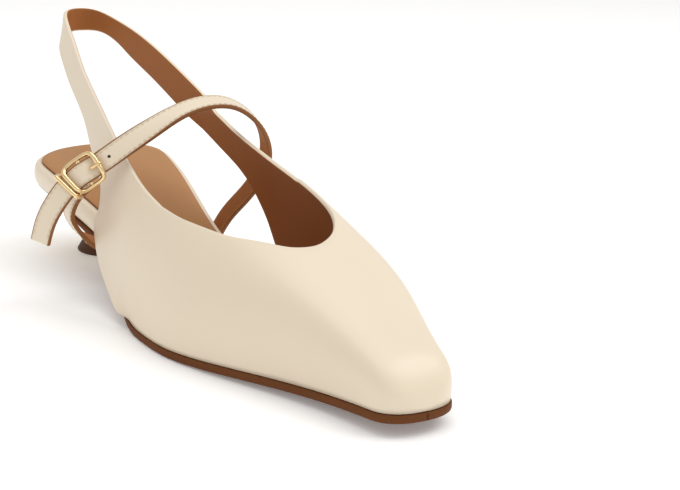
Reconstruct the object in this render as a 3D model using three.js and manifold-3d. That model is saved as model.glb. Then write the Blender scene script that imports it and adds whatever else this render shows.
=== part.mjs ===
// Slingback sandal, right foot, millimetres, +X to the toe, +Y to the inner side of the foot, +Z up.
// The origin lies on the floor, at the middle of the heel's top piece.
import * as THREE from 'three';
import { mergeVertices } from 'three/addons/utils/BufferGeometryUtils.js';
import Module from 'manifold-3d';

// Driving sizes
const LENGTH = 258;                 // back of the seat to the end of the toe
const HEEL_SETBACK = 24.5;          // back of the seat to the middle of the heel
const BALL_WIDTH = 78;              // widest part of the upper
const HEEL_HEIGHT = 33;             // floor to the underside of the footbed at the back
const INSTEP_HEIGHT = 82;           // floor to the top of the instep strap
const SLING_HEIGHT = 101.5;         // floor to the top of the sling at the back
const CLEARANCE = 0.3;              // gap between pieces that meet
const UPPER_WALL = 1.8;             // leather and lining of vamp and sling
const STRAP_THICKNESS = 1.7;        // leather and lining of the narrow straps
const STRAP_WIDTH = 8.2;            // instep strap
const OUTSOLE_THICKNESS = 3;
const OUTSOLE_END_THICKNESS = 1;    // where the outsole runs out under the waist
const FOOTBED_THICKNESS = 8.6;      // wrapped edge of seat and waist
const INSOLE_THICKNESS = 2.4;       // the same board inside the vamp
const SOCK_THICKNESS = 1.1;
const SOCK_INSET = 3.2;             // from the edge of the footbed to the sock
const UPPER_INSET = 0.6;            // from the edge of the outsole to the upper
const TUCK_HEIGHT = 16;             // height in which the upper draws in to the sole
const SEAT_RADIUS = 27;             // rounding of the seat's back, along the shoe
const TOE_RADIUS = 10;              // rounding of the toe in plan
const TOE_CREST_RADIUS = 12;        // rounding of the toe seen from the side
const OUTSOLE_EDGE_RADIUS = 0.8;
const HEEL_TIP_RADIUS = 13.15;
const HEEL_TIP_HEIGHT = 8.3;
const HEEL_TIP_TOP_RADIUS = 9.9;
const HEEL_NECK_RADIUS = 7.4;
const HEEL_NECK_HEIGHT = 19;
const HEEL_NECK_SHIFT = 2.5;        // how far the neck stands in front of the top piece
const HEEL_CUP_DEPTH = 9;           // height in which the heel spreads to the seat
const HEEL_CUP_INSET = 1.2;         // from the edge of the footbed to the cup
const HEEL_BREAST = 0.185;          // front of the cup, as a share of the length
const BUCKLE_LENGTH = 13.8;
const BUCKLE_WIDTH = 13;
const BUCKLE_WIRE = 1.8;
const BUCKLE_PLAY = 0.6;            // between the strap and the bars round it
const BUCKLE_LIFT = 1;              // rise of the strap over the middle bar and its dip under the end bars
const MIDDLE_BAR_WIRE = 1.6;
const KEEPER_DEPTH = 6.6;
const KEEPER_WIRE = 1.6;
const PRONG_WIRE = 1.3;
const PRONG_HOLE = 0.5;             // from the middle bar to the end bar
const LOOP_POWER = 5;               // squareness of the buckle's loops

const wasm = await Module();
wasm.setup();

// Colours
const CREAM = 0xdccdb3;
const TAN = 0xa87548;
const BROWN = 0x6b3f24;
const GOLD = 0xc9a668;

const BACK = -HEEL_SETBACK;
const radians = THREE.MathUtils.degToRad;
const clamp = THREE.MathUtils.clamp;
const lerp = THREE.MathUtils.lerp;
const TINY = 1e-6;

// The sole's outline and the height of its upper face, back to toe.
// along: share of LENGTH. lateral, medial: shares of BALL_WIDTH. top: share of HEEL_HEIGHT.
const SOLE_ROWS = [
  { along: 0.00, lateral: -0.365, medial: 0.430, top: 1.000 },
  { along: 0.10, lateral: -0.420, medial: 0.380, top: 0.965 },
  { along: 0.20, lateral: -0.415, medial: 0.322, top: 0.880 },
  { along: 0.30, lateral: -0.365, medial: 0.265, top: 0.695 },
  { along: 0.38, lateral: -0.345, medial: 0.250, top: 0.445 },
  { along: 0.45, lateral: -0.415, medial: 0.290, top: 0.215 },
  { along: 0.51, lateral: -0.462, medial: 0.358, top: 0.105 },
  { along: 0.57, lateral: -0.472, medial: 0.430, top: 0.088 },
  { along: 0.62, lateral: -0.460, medial: 0.478, top: 0.090 },
  { along: 0.68, lateral: -0.408, medial: 0.493, top: 0.105 },
  { along: 0.76, lateral: -0.305, medial: 0.462, top: 0.137 },
  { along: 0.84, lateral: -0.200, medial: 0.393, top: 0.168 },
  { along: 0.92, lateral: -0.125, medial: 0.318, top: 0.200 },
  { along: 1.00, lateral: -0.078, medial: 0.262, top: 0.232 },
];

// The last above the sole, waist to toe.
// lateral, medial: widest line, shares of BALL_WIDTH. drop: how far the free wings reach below the sole's
// upper face, share of HEEL_HEIGHT. ridge, ridgeSide: top line, shares of INSTEP_HEIGHT and BALL_WIDTH.
// boxy: fullness of the section's shoulders.
const LAST_ROWS = [
  { along: 0.28, lateral: -0.400, medial: 0.350, drop: 0.20, ridge: 1.160, ridgeSide: -0.005, boxy: 0.00 },
  { along: 0.38, lateral: -0.455, medial: 0.380, drop: 0.20, ridge: 1.080, ridgeSide: -0.012, boxy: 0.00 },
  { along: 0.43, lateral: -0.470, medial: 0.405, drop: 0.14, ridge: 1.020, ridgeSide: -0.035, boxy: 0.00 },
  { along: 0.49, lateral: -0.484, medial: 0.445, drop: 0.00, ridge: 0.947, ridgeSide: -0.040, boxy: 0.00 },
  { along: 0.56, lateral: -0.490, medial: 0.484, drop: 0.00, ridge: 0.862, ridgeSide: 0.010, boxy: 0.00 },
  { along: 0.62, lateral: -0.478, medial: 0.508, drop: 0.00, ridge: 0.760, ridgeSide: 0.066, boxy: 0.01 },
  { along: 0.68, lateral: -0.424, medial: 0.518, drop: 0.00, ridge: 0.652, ridgeSide: 0.100, boxy: 0.03 },
  { along: 0.76, lateral: -0.317, medial: 0.480, drop: 0.00, ridge: 0.543, ridgeSide: 0.105, boxy: 0.06 },
  { along: 0.84, lateral: -0.213, medial: 0.408, drop: 0.00, ridge: 0.440, ridgeSide: 0.120, boxy: 0.08 },
  { along: 0.92, lateral: -0.138, medial: 0.325, drop: 0.00, ridge: 0.335, ridgeSide: 0.108, boxy: 0.08 },
  { along: 1.00, lateral: -0.090, medial: 0.268, drop: 0.00, ridge: 0.232, ridgeSide: 0.092, boxy: 0.08 },
];

// Ribs of the vamp from the sole to the throat.
// reach: -1 at the lateral foot of the vamp, 0 at the toe, 1 at the medial foot.
// topAlong, topSide: where the rib ends on the throat's edge.
const VAMP_ROWS = [
  { reach: -1.00, topAlong: 0.548, topSide: -0.366 },
  { reach: -0.80, topAlong: 0.598, topSide: -0.338 },
  { reach: -0.60, topAlong: 0.645, topSide: -0.287 },
  { reach: -0.40, topAlong: 0.690, topSide: -0.216 },
  { reach: -0.22, topAlong: 0.728, topSide: -0.125 },
  { reach: -0.08, topAlong: 0.751, topSide: -0.045 },
  { reach: 0.02, topAlong: 0.757, topSide: 0.035 },
  { reach: 0.12, topAlong: 0.752, topSide: 0.100 },
  { reach: 0.25, topAlong: 0.737, topSide: 0.172 },
  { reach: 0.42, topAlong: 0.707, topSide: 0.246 },
  { reach: 0.60, topAlong: 0.668, topSide: 0.294 },
  { reach: 0.80, topAlong: 0.622, topSide: 0.303 },
  { reach: 1.00, topAlong: 0.590, topSide: 0.296 },
];
const LATERAL_FOOT = 0.507;         // where the foot of the vamp begins, shares of LENGTH
const MEDIAL_FOOT = 0.500;

// Ribs of the two wings, from the sling to the foot of the vamp: the free back edge and the throat's edge.
// lowHeight, topHeight: shares of SLING_HEIGHT.
const LATERAL_WING_ROWS = [
  { lowAlong: 0.290, lowHeight: 0.560, topAlong: 0.367, topHeight: 0.632 },
  { lowAlong: 0.333, lowHeight: 0.507, topAlong: 0.398, topHeight: 0.602 },
  { lowAlong: 0.364, lowHeight: 0.453, topAlong: 0.422, topHeight: 0.580 },
  { lowAlong: 0.372, lowHeight: 0.390, topAlong: 0.446, topHeight: 0.559 },
  { lowAlong: 0.361, lowHeight: 0.305, topAlong: 0.469, topHeight: 0.540 },
  { lowAlong: 0.377, lowHeight: 0.227, topAlong: 0.487, topHeight: 0.526 },
  { lowAlong: 0.404, lowHeight: 0.163, topAlong: 0.503, topHeight: 0.514 },
  { lowAlong: 0.438, lowHeight: 0.107, topAlong: 0.518, topHeight: 0.503 },
  { lowAlong: 0.474, lowHeight: 0.060, topAlong: 0.533, topHeight: 0.493 },
];
const MEDIAL_WING_ROWS = [
  { lowAlong: 0.294, lowHeight: 0.612, topAlong: 0.364, topHeight: 0.706 },
  { lowAlong: 0.336, lowHeight: 0.570, topAlong: 0.410, topHeight: 0.675 },
  { lowAlong: 0.402, lowHeight: 0.500, topAlong: 0.464, topHeight: 0.638 },
  { lowAlong: 0.427, lowHeight: 0.446, topAlong: 0.488, topHeight: 0.620 },
  { lowAlong: 0.440, lowHeight: 0.394, topAlong: 0.511, topHeight: 0.602 },
  { lowAlong: 0.453, lowHeight: 0.325, topAlong: 0.534, topHeight: 0.584 },
  { lowAlong: 0.463, lowHeight: 0.250, topAlong: 0.552, topHeight: 0.571 },
  { lowAlong: 0.474, lowHeight: 0.170, topAlong: 0.566, topHeight: 0.561 },
  { lowAlong: 0.485, lowHeight: 0.100, topAlong: 0.578, topHeight: 0.553 },
];

// Ribs of the sling, from the medial wing round the back to the lateral wing.
// along, side, height of the lower and the upper edge: shares of LENGTH, BALL_WIDTH and SLING_HEIGHT.
const SLING_ROWS = [
  { low: [0.261, 0.262, 0.646], top: [0.325, 0.252, 0.735] },
  { low: [0.216, 0.241, 0.692], top: [0.271, 0.253, 0.781] },
  { low: [0.139, 0.220, 0.766], top: [0.185, 0.231, 0.858] },
  { low: [0.061, 0.200, 0.833], top: [0.081, 0.211, 0.928] },
  { low: [0.007, 0.175, 0.887], top: [0.011, 0.181, 0.966] },
  { low: [-0.028, 0.111, 0.911], top: [-0.030, 0.111, 0.995] },
  { low: [-0.040, 0.034, 0.911], top: [-0.042, 0.034, 1.000] },
  { low: [-0.034, -0.055, 0.906], top: [-0.036, -0.055, 0.996] },
  { low: [-0.012, -0.130, 0.872], top: [-0.005, -0.113, 0.975] },
  { low: [0.030, -0.172, 0.806], top: [0.054, -0.146, 0.897] },
  { low: [0.085, -0.206, 0.743], top: [0.116, -0.183, 0.820] },
  { low: [0.158, -0.248, 0.679], top: [0.201, -0.232, 0.746] },
  { low: [0.224, -0.292, 0.620], top: [0.286, -0.284, 0.686] },
];

// Middle line of the instep strap, from its foot at the medial waist to the end of its tail.
// along, side, height: shares of LENGTH, BALL_WIDTH and INSTEP_HEIGHT.
// edge: way from its front edge to its back edge.
const INSTEP_STRAP_ROWS = [
  { along: 0.347, side: 0.262, height: 0.262, edge: [-1, 0, 0.3] },
  { along: 0.356, side: 0.300, height: 0.345, edge: [-1, 0, 0.3] },
  { along: 0.380, side: 0.364, height: 0.463, edge: [-0.95, 0, 0.3] },
  { along: 0.404, side: 0.410, height: 0.585, edge: [-0.95, 0, 0.3] },
  { along: 0.425, side: 0.405, height: 0.695, edge: [-0.95, 0, 0.25] },
  { along: 0.441, side: 0.350, height: 0.822, edge: [-0.95, 0.1, 0.25] },
  { along: 0.451, side: 0.240, height: 0.925, edge: [-0.95, 0.1, 0.28] },
  { along: 0.457, side: 0.125, height: 0.975, edge: [-0.94, 0, 0.32] },
  { along: 0.457, side: 0.008, height: 0.980, edge: [-0.94, 0, 0.35] },
  { along: 0.453, side: -0.120, height: 0.945, edge: [-0.9, 0, 0.42] },
  { along: 0.445, side: -0.248, height: 0.875, edge: [-0.72, -0.12, 0.62] },
  { along: 0.435, side: -0.376, height: 0.795, edge: [-0.5, -0.24, 0.8] },
  { along: 0.426, side: -0.484, height: 0.722, edge: [-0.36, -0.3, 0.88] },
  { along: 0.414, side: -0.588, height: 0.650, edge: [-0.42, -0.34, 0.82] },
  { along: 0.402, side: -0.668, height: 0.550, edge: [-0.6, -0.42, 0.64] },
  { along: 0.396, side: -0.720, height: 0.450, edge: [-0.72, -0.5, 0.4] },
  { along: 0.392, side: -0.744, height: 0.352, edge: [-0.78, -0.5, 0.24] },
];
const BUCKLE_AT = 0.812;            // middle of the buckle, as a share of the instep strap's length

// Middle line of the buckle strap, from just under the buckle's bar to its broad foot at the lateral waist.
// Columns as for the instep strap. width: millimetres.
const BUCKLE_STRAP_ROWS = [
  { along: 0.402, side: -0.520, height: 0.626, edge: [-0.8, -0.25, 0.5], width: 7.8 },
  { along: 0.380, side: -0.546, height: 0.561, edge: [-0.9, -0.15, 0.3], width: 7.8 },
  { along: 0.360, side: -0.555, height: 0.488, edge: [-0.95, -0.1, 0.2], width: 8 },
  { along: 0.346, side: -0.540, height: 0.421, edge: [-1, 0, 0.1], width: 8 },
  { along: 0.341, side: -0.504, height: 0.360, edge: [-1, 0, 0.1], width: 8.5 },
  { along: 0.343, side: -0.452, height: 0.305, edge: [-1, 0, 0.2], width: 9.5 },
  { along: 0.348, side: -0.402, height: 0.272, edge: [-1, 0, 0.3], width: 11.5 },
  { along: 0.353, side: -0.372, height: 0.235, edge: [-1, -0.1, 0.4], width: 15 },
];

// Tables as smooth curves
function naturalSpline(ts, vs) {
  const n = ts.length;
  const second = new Array(n).fill(0);
  const work = new Array(n).fill(0);
  for (let i = 1; i < n - 1; i += 1) {
    const share = (ts[i] - ts[i - 1]) / (ts[i + 1] - ts[i - 1]);
    const pivot = share * second[i - 1] + 2;
    second[i] = (share - 1) / pivot;
    const bend = (vs[i + 1] - vs[i]) / (ts[i + 1] - ts[i]) - (vs[i] - vs[i - 1]) / (ts[i] - ts[i - 1]);
    work[i] = (6 * bend / (ts[i + 1] - ts[i - 1]) - share * work[i - 1]) / pivot;
  }
  for (let i = n - 2; i >= 0; i -= 1) {
    second[i] = second[i] * second[i + 1] + work[i];
  }
  return (t) => {
    let i = 0;
    while (i < n - 2 && t > ts[i + 1]) {
      i += 1;
    }
    const span = ts[i + 1] - ts[i];
    const a = (ts[i + 1] - t) / span;
    const b = 1 - a;
    const bend = (a ** 3 - a) * second[i] + (b ** 3 - b) * second[i + 1];
    return a * vs[i] + b * vs[i + 1] + bend * span * span / 6;
  };
}

function column(rows, key, scale, name) {
  return naturalSpline(rows.map((row) => row[key]), rows.map((row) => row[name] * scale));
}

// A monotone curve through a column, with the row number as parameter: it keeps corners where rows turn.
function stepColumn(rows, name) {
  const v = rows.map((row) => row[name]);
  const slope = v.map((value, i) => {
    const before = i > 0 ? value - v[i - 1] : v[1] - v[0];
    const after = i < v.length - 1 ? v[i + 1] - value : value - v[i - 1];
    return before * after > 0 ? 2 * before * after / (before + after) : 0;
  });
  return (t) => {
    const i = clamp(Math.floor(t), 0, v.length - 2);
    const f = t - i;
    const hold = (1 + 2 * f) * (1 - f) ** 2;
    const leave = f * (1 - f) ** 2;
    const arrive = f * f * (f - 1);
    return hold * v[i] + leave * slope[i] + (1 - hold) * v[i + 1] + arrive * slope[i + 1];
  };
}

const smooth = (t) => t * t * (3 - 2 * t);
const place = (along, side, height) => new THREE.Vector3(
  BACK + along * LENGTH, side * BALL_WIDTH, height * SLING_HEIGHT);

const soleLateral = column(SOLE_ROWS, 'along', BALL_WIDTH, 'lateral');
const soleMedial = column(SOLE_ROWS, 'along', BALL_WIDTH, 'medial');
const soleTop = column(SOLE_ROWS, 'along', HEEL_HEIGHT, 'top');
const lastLateral = column(LAST_ROWS, 'along', BALL_WIDTH, 'lateral');
const lastMedial = column(LAST_ROWS, 'along', BALL_WIDTH, 'medial');
const lastDrop = column(LAST_ROWS, 'along', HEEL_HEIGHT, 'drop');
const lastRidge = column(LAST_ROWS, 'along', INSTEP_HEIGHT, 'ridge');
const lastRidgeSide = column(LAST_ROWS, 'along', BALL_WIDTH, 'ridgeSide');
const lastBoxy = column(LAST_ROWS, 'along', 1, 'boxy');

const shareAt = (x) => (x - BACK) / LENGTH;
const topAt = (x) => soleTop(shareAt(x));

// Rounding factors of the two ends
const TOE_POWER = 2.4;
const SEAT_POWER = 2.1;
const CREST_POWER = 2.2;
const rounding = (distance, radius, power) => {
  const t = clamp(1 - distance / radius, 0, 1);
  return (1 - t ** power) ** (1 / power);
};

// The outline of the sole as paired points, lateral side to the toe and back on the medial side.
// from: where it starts at the back. roundSeat: whether the back is the round seat.
function outline(lateral, medial, from, count, roundSeat) {
  const sideStations = [];
  const toeSteps = 8;
  const seatSteps = roundSeat ? 9 : 0;
  const straightFrom = roundSeat ? SEAT_RADIUS / LENGTH : from;
  const straightTo = 1 - TOE_RADIUS / LENGTH;
  for (let i = 0; i < seatSteps; i += 1) {
    const turn = (i + 0.5) / seatSteps * Math.PI / 2;
    const cut = 1 - Math.cos(turn) ** (2 / SEAT_POWER);
    sideStations.push([cut * SEAT_RADIUS / LENGTH, Math.sin(turn) ** (2 / SEAT_POWER)]);
  }
  for (let i = 0; i <= count; i += 1) {
    sideStations.push([lerp(straightFrom, straightTo, i / count), 1]);
  }
  for (let i = 1; i <= toeSteps; i += 1) {
    const turn = (i - (i === toeSteps ? 0.35 : 0)) / toeSteps * Math.PI / 2;
    const reach = Math.sin(turn) ** (2 / TOE_POWER);
    sideStations.push([1 - TOE_RADIUS / LENGTH * (1 - reach), Math.cos(turn) ** (2 / TOE_POWER)]);
  }
  const point = ([along, factor], edge) => {
    const middle = (lateral(along) + medial(along)) / 2;
    return new THREE.Vector2(BACK + along * LENGTH, middle + (edge(along) - middle) * factor);
  };
  return [
    ...sideStations.map((station) => point(station, lateral)),
    ...sideStations.map((station) => point(station, medial)).reverse(),
  ];
}

// Outward directions of a closed outline that runs lateral side, toe, medial side
function outlineNormals(points) {
  const n = points.length;
  return points.map((point, i) => {
    const way = points[(i + 1) % n].clone().sub(points[(i + n - 1) % n]);
    return new THREE.Vector2(way.y, -way.x).normalize();
  });
}

// Closed solids
function solid(positions, triangles) {
  let volume = 0;
  const a = new THREE.Vector3();
  const b = new THREE.Vector3();
  const c = new THREE.Vector3();
  for (const [i, j, k] of triangles) {
    a.copy(positions[i]);
    b.copy(positions[j]);
    c.copy(positions[k]);
    volume += a.dot(b.cross(c));
  }
  const facing = volume > 0 ? triangles : triangles.map(([i, j, k]) => [i, k, j]);
  const geometry = new THREE.BufferGeometry();
  const numbers = positions.flatMap((point) => point.toArray());
  geometry.setAttribute('position', new THREE.Float32BufferAttribute(numbers, 3));
  geometry.setIndex(facing.flat());
  geometry.computeVertexNormals();
  return geometry;
}

const quad = (a, b, c, d) => [[a, b, c], [a, c, d]];

// A plate between paired outline points: levels run from its underside round the edge to its upper side.
// Each level has an inset and a height function of x.
function plate(points, levels) {
  const normals = outlineNormals(points);
  const n = points.length;
  const positions = [];
  const triangles = [];
  for (const level of levels) {
    points.forEach((point, i) => {
      const inset = typeof level.inset === 'function' ? level.inset(i) : level.inset;
      const x = point.x - normals[i].x * inset;
      positions.push(new THREE.Vector3(x, point.y - normals[i].y * inset, level.height(x)));
    });
  }
  for (let level = 0; level < levels.length - 1; level += 1) {
    for (let i = 0; i < n; i += 1) {
      const j = (i + 1) % n;
      triangles.push(...quad(level * n + i, level * n + j, (level + 1) * n + j, (level + 1) * n + i));
    }
  }
  const last = (levels.length - 1) * n;
  for (let i = 0; i < n / 2 - 1; i += 1) {
    triangles.push(...quad(i, n - 1 - i, n - 2 - i, i + 1));
    triangles.push(...quad(last + i, last + i + 1, last + n - 2 - i, last + n - 1 - i));
  }
  return solid(positions, triangles);
}

// Outward directions of a grid of ribs
function gridNormals(grid, closed) {
  const n = grid.length;
  const m = grid[0].length - 1;
  const at = (i, k) => grid[closed ? (i + n) % n : clamp(i, 0, n - 1)][clamp(k, 0, m)];
  return grid.map((rib, i) => rib.map((point, k) => {
    const along = at(i + 1, k).clone().sub(at(i - 1, k));
    const up = at(i, k + 1).clone().sub(at(i, k - 1));
    return along.cross(up).normalize();
  }));
}

// A wall of even thickness inside a grid of ribs. settle: moves the points of the inner face's lower edge.
function wall(grid, thickness, closed, settle) {
  const normals = gridNormals(grid, closed);
  const n = grid.length;
  const m = grid[0].length;
  const inner = grid.map((rib, i) => rib.map((point, k) => {
    const moved = point.clone().addScaledVector(normals[i][k], -thickness);
    return k === 0 && settle ? settle(moved, i) : moved;
  }));
  const positions = [...grid.flat(), ...inner.flat()];
  const out = (i, k) => (i % n) * m + k;
  const inn = (i, k) => n * m + (i % n) * m + k;
  const triangles = [];
  const spans = closed ? n : n - 1;
  for (let i = 0; i < spans; i += 1) {
    for (let k = 0; k < m - 1; k += 1) {
      triangles.push(...quad(out(i, k), out(i + 1, k), out(i + 1, k + 1), out(i, k + 1)));
      triangles.push(...quad(inn(i, k), inn(i, k + 1), inn(i + 1, k + 1), inn(i + 1, k)));
    }
    triangles.push(...quad(out(i, 0), inn(i, 0), inn(i + 1, 0), out(i + 1, 0)));
    triangles.push(...quad(out(i, m - 1), out(i + 1, m - 1), inn(i + 1, m - 1), inn(i, m - 1)));
  }
  if (!closed) {
    for (let k = 0; k < m - 1; k += 1) {
      triangles.push(...quad(out(0, k), out(0, k + 1), inn(0, k + 1), inn(0, k)));
      triangles.push(...quad(out(n - 1, k), inn(n - 1, k), inn(n - 1, k + 1), out(n - 1, k + 1)));
    }
  }
  return solid(positions, triangles);
}

// A round wire along a path, closed on itself or with flat ends
function wire(path, diameter, sides, closed) {
  const n = path.length;
  const positions = [];
  const triangles = [];
  const flat = new THREE.Vector3();
  for (let i = 1; i < n - 1; i += 1) {
    flat.add(path[i].clone().sub(path[0]).cross(path[i + 1].clone().sub(path[0])));
  }
  if (flat.length() < TINY) {
    flat.set(1, 0, 0).cross(path[1].clone().sub(path[0]));
  }
  flat.normalize();
  for (let i = 0; i < n; i += 1) {
    const next = closed ? path[(i + 1) % n] : path[Math.min(i + 1, n - 1)];
    const last = closed ? path[(i + n - 1) % n] : path[Math.max(i - 1, 0)];
    const tangent = next.clone().sub(last).normalize();
    const side = tangent.clone().cross(flat).normalize();
    for (let s = 0; s < sides; s += 1) {
      const turn = (s + 0.5) / sides * 2 * Math.PI;
      positions.push(path[i].clone()
        .addScaledVector(side, Math.cos(turn) * diameter / 2)
        .addScaledVector(flat, Math.sin(turn) * diameter / 2));
    }
  }
  const spans = closed ? n : n - 1;
  for (let i = 0; i < spans; i += 1) {
    for (let s = 0; s < sides; s += 1) {
      const t = (s + 1) % sides;
      const j = (i + 1) % n;
      triangles.push(...quad(i * sides + s, i * sides + t, j * sides + t, j * sides + s));
    }
  }
  if (!closed) {
    for (let s = 1; s < sides - 1; s += 1) {
      triangles.push([0, s + 1, s]);
      triangles.push([(n - 1) * sides, (n - 1) * sides + s, (n - 1) * sides + s + 1]);
    }
  }
  return solid(positions, triangles);
}

// Outsole: from the heel's breast to the toe, flat under the ball, worn to a thin end under the waist
function outsoleSolid() {
  const end = HEEL_BREAST + CLEARANCE / LENGTH;
  const points = outline(soleLateral, soleMedial, end, 38, false);
  const thickness = (x) => lerp(OUTSOLE_END_THICKNESS, OUTSOLE_THICKNESS,
    smooth(clamp((shareAt(x) - end) / (LATERAL_FOOT - end) * 2, 0, 1)));
  const under = (x) => Math.max(0, topAt(x) - thickness(x));
  const over = (x) => Math.max(topAt(x), OUTSOLE_THICKNESS);
  return plate(points, [
    { inset: OUTSOLE_EDGE_RADIUS, height: under },
    { inset: 0, height: (x) => Math.min(under(x) + OUTSOLE_EDGE_RADIUS, over(x) - 0.2) },
    { inset: 0, height: over },
  ]);
}

// Footbed: the wrapped board of seat and waist that goes on inside the vamp as a thin insole
const SEAT_END = 0.40;              // where the thick board begins to thin out, share of LENGTH
const SEAT_FADE = 0.12;
const INSOLE_LEAD = 0.045;          // how far behind the foot of the vamp the insole begins to step in
const HOLD_RUN = 0.035;             // way over which the insole steps in and the sole takes hold of the wall

// The wrapped edge in section, from below: inset in millimetres and share of the edge's height
const FOOTBED_EDGE = [[1.5, 0], [0.3, 0.22], [0, 0.55], [0.5, 0.85], [1.6, 1]];
const footbedUnder = (x) => Math.max(topAt(x), OUTSOLE_THICKNESS) + CLEARANCE;
const footbedShare = (x) => 1 - smooth(clamp((shareAt(x) - SEAT_END) / SEAT_FADE, 0, 1));
const footbedTop = (x) => footbedUnder(x) + lerp(INSOLE_THICKNESS, FOOTBED_THICKNESS, footbedShare(x));
const footbedCount = 38;
const footbedOutline = outline(soleLateral, soleMedial, 0, footbedCount, true);

function footbedInset(i, extra) {
  const inside = UPPER_INSET + UPPER_WALL + 2 * CLEARANCE;
  const foot = i < footbedOutline.length / 2 ? LATERAL_FOOT : MEDIAL_FOOT;
  const share = smooth(clamp((shareAt(footbedOutline[i].x) - foot + INSOLE_LEAD) / HOLD_RUN, 0, 1));
  return inside * share + extra;
}

function footbedSolid() {
  return plate(footbedOutline, FOOTBED_EDGE.map(([extra, up]) => ({
    inset: (i) => footbedInset(i, extra),
    height: (x) => lerp(footbedUnder(x), footbedTop(x), up),
  })));
}

const SOCK_COVERED_INSET = 0.6;     // the sock's inset inside the vamp
const SOCK_BEVEL = [0.6, 0.4];      // width and height of the bevel round its upper edge
function sockSolid() {
  const over = (x) => footbedTop(x) + CLEARANCE + SOCK_THICKNESS;
  const extra = (x) => lerp(SOCK_COVERED_INSET, SOCK_INSET, footbedShare(x));
  const inset = (i) => footbedInset(i, extra(footbedOutline[i].x));
  return plate(footbedOutline, [
    { inset, height: (x) => footbedTop(x) + CLEARANCE },
    { inset, height: (x) => over(x) - SOCK_BEVEL[1] },
    { inset: (i) => inset(i) + SOCK_BEVEL[0], height: over },
  ]);
}

// Upper: vamp, two wings and the sling as one wall
const fullness = (u, q) => ((1 + 3 * q) * u - 4 * q * u ** 3) / (1 - q);
function unfull(value, q) {
  let u = clamp(value, 0, 1);
  for (let i = 0; i < 6; i += 1) {
    u -= (fullness(u, q) - value) * (1 - q) / (1 + 3 * q - 12 * q * u * u);
  }
  return clamp(u, 0, 1);
}

const lastBase = (s) => soleTop(s) - lastDrop(s) + CLEARANCE;
const toeFactor = (s) => rounding((1 - s) * LENGTH, TOE_RADIUS, TOE_POWER);
const crestFactor = (s) => rounding((1 - s) * LENGTH, TOE_CREST_RADIUS, CREST_POWER);
const lastRise = (s) => (lastRidge(s) - lastBase(s)) * crestFactor(s);

function lastEdge(s, medial) {
  const middle = (lastLateral(s) + lastMedial(s)) / 2;
  return middle + ((medial ? lastMedial(s) : lastLateral(s)) - middle) * toeFactor(s);
}

// Height of the last over a point of the plan
function lastHeight(x, y) {
  const s = Math.min(shareAt(x), 1);
  const middle = (lastLateral(s) + lastMedial(s)) / 2;
  const crown = middle + (lastRidgeSide(s) - middle) * toeFactor(s);
  const reach = Math.abs(lastEdge(s, y > crown) - crown);
  const part = reach > TINY ? clamp(Math.abs(y - crown) / reach, 0, 1) : 0;
  const cosine = unfull(part, lastBoxy(s));
  return lastBase(s) + lastRise(s) * fullness(Math.sqrt(1 - cosine * cosine), lastBoxy(s));
}

// The point of a wing at a height, and its turn from the widest line
function wingPoint(s, height, medial) {
  const part = clamp((height - lastBase(s)) / lastRise(s), 0, 1);
  const sine = unfull(part, lastBoxy(s));
  const crown = lastRidgeSide(s);
  const cosine = fullness(Math.sqrt(1 - sine * sine), lastBoxy(s));
  return { x: BACK + s * LENGTH, y: lerp(crown, lastEdge(s, medial), cosine), turn: Math.asin(sine) };
}

const RIB_STEPS = 11;
const WING_RIBS = 16;
const VAMP_RIBS = 52;
const SLING_RIBS = 28;
const STEEPEST = radians(80);

// A rib over the last: straight in plan, close points where the last is steep.
// low: plan point on the last, with its turn. draw: way in plan by which the sole's edge lies inside it.
function rib(low, top, draw) {
  const s = shareAt(top.x);
  const crown = lastRidgeSide(s);
  const reach = Math.abs(lastEdge(s, top.y > crown) - crown);
  const part = clamp(Math.abs(top.y - crown) / reach, 0, 1);
  const topTurn = Math.min(Math.acos(unfull(part, lastBoxy(s))), STEEPEST);
  const points = [];
  for (let k = 0; k <= RIB_STEPS; k += 1) {
    const turn = lerp(low.turn, topTurn, k / RIB_STEPS);
    const g = (Math.cos(low.turn) - Math.cos(turn)) / (Math.cos(low.turn) - Math.cos(topTurn));
    const x = lerp(low.x, top.x, g);
    const y = lerp(low.y, top.y, g);
    const z = k === 0 ? low.z : lastHeight(x, y);
    const pull = (1 - clamp((z - lastBase(shareAt(x))) / TUCK_HEIGHT, 0, 1)) ** 2;
    points.push(new THREE.Vector3(x + draw.x * pull, y + draw.y * pull, z));
  }
  return points;
}

// How firmly the sole holds the wall: free behind the foot of the vamp, full in front of it
const held = (s, foot) => smooth(clamp((s - foot + HOLD_RUN) / HOLD_RUN, 0, 1));

function wingRibs(rows, medial, foot, count) {
  const lowAlong = stepColumn(rows, 'lowAlong');
  const lowHeight = stepColumn(rows, 'lowHeight');
  const topAlong = stepColumn(rows, 'topAlong');
  const topHeight = stepColumn(rows, 'topHeight');
  const ribs = [];
  for (let i = 0; i < count; i += 1) {
    const t = i / count * (rows.length - 1);
    const s = lowAlong(t);
    const height = lowHeight(t) * SLING_HEIGHT;
    const low = { ...wingPoint(s, height, medial), z: height };
    const soleEdge = medial ? soleMedial(s) - UPPER_INSET : soleLateral(s) + UPPER_INSET;
    const draw = new THREE.Vector2(0, (soleEdge - lastEdge(s, medial)) * held(s, foot));
    ribs.push(rib(low, wingPoint(topAlong(t), topHeight(t) * SLING_HEIGHT, medial), draw));
  }
  return ribs;
}

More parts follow.
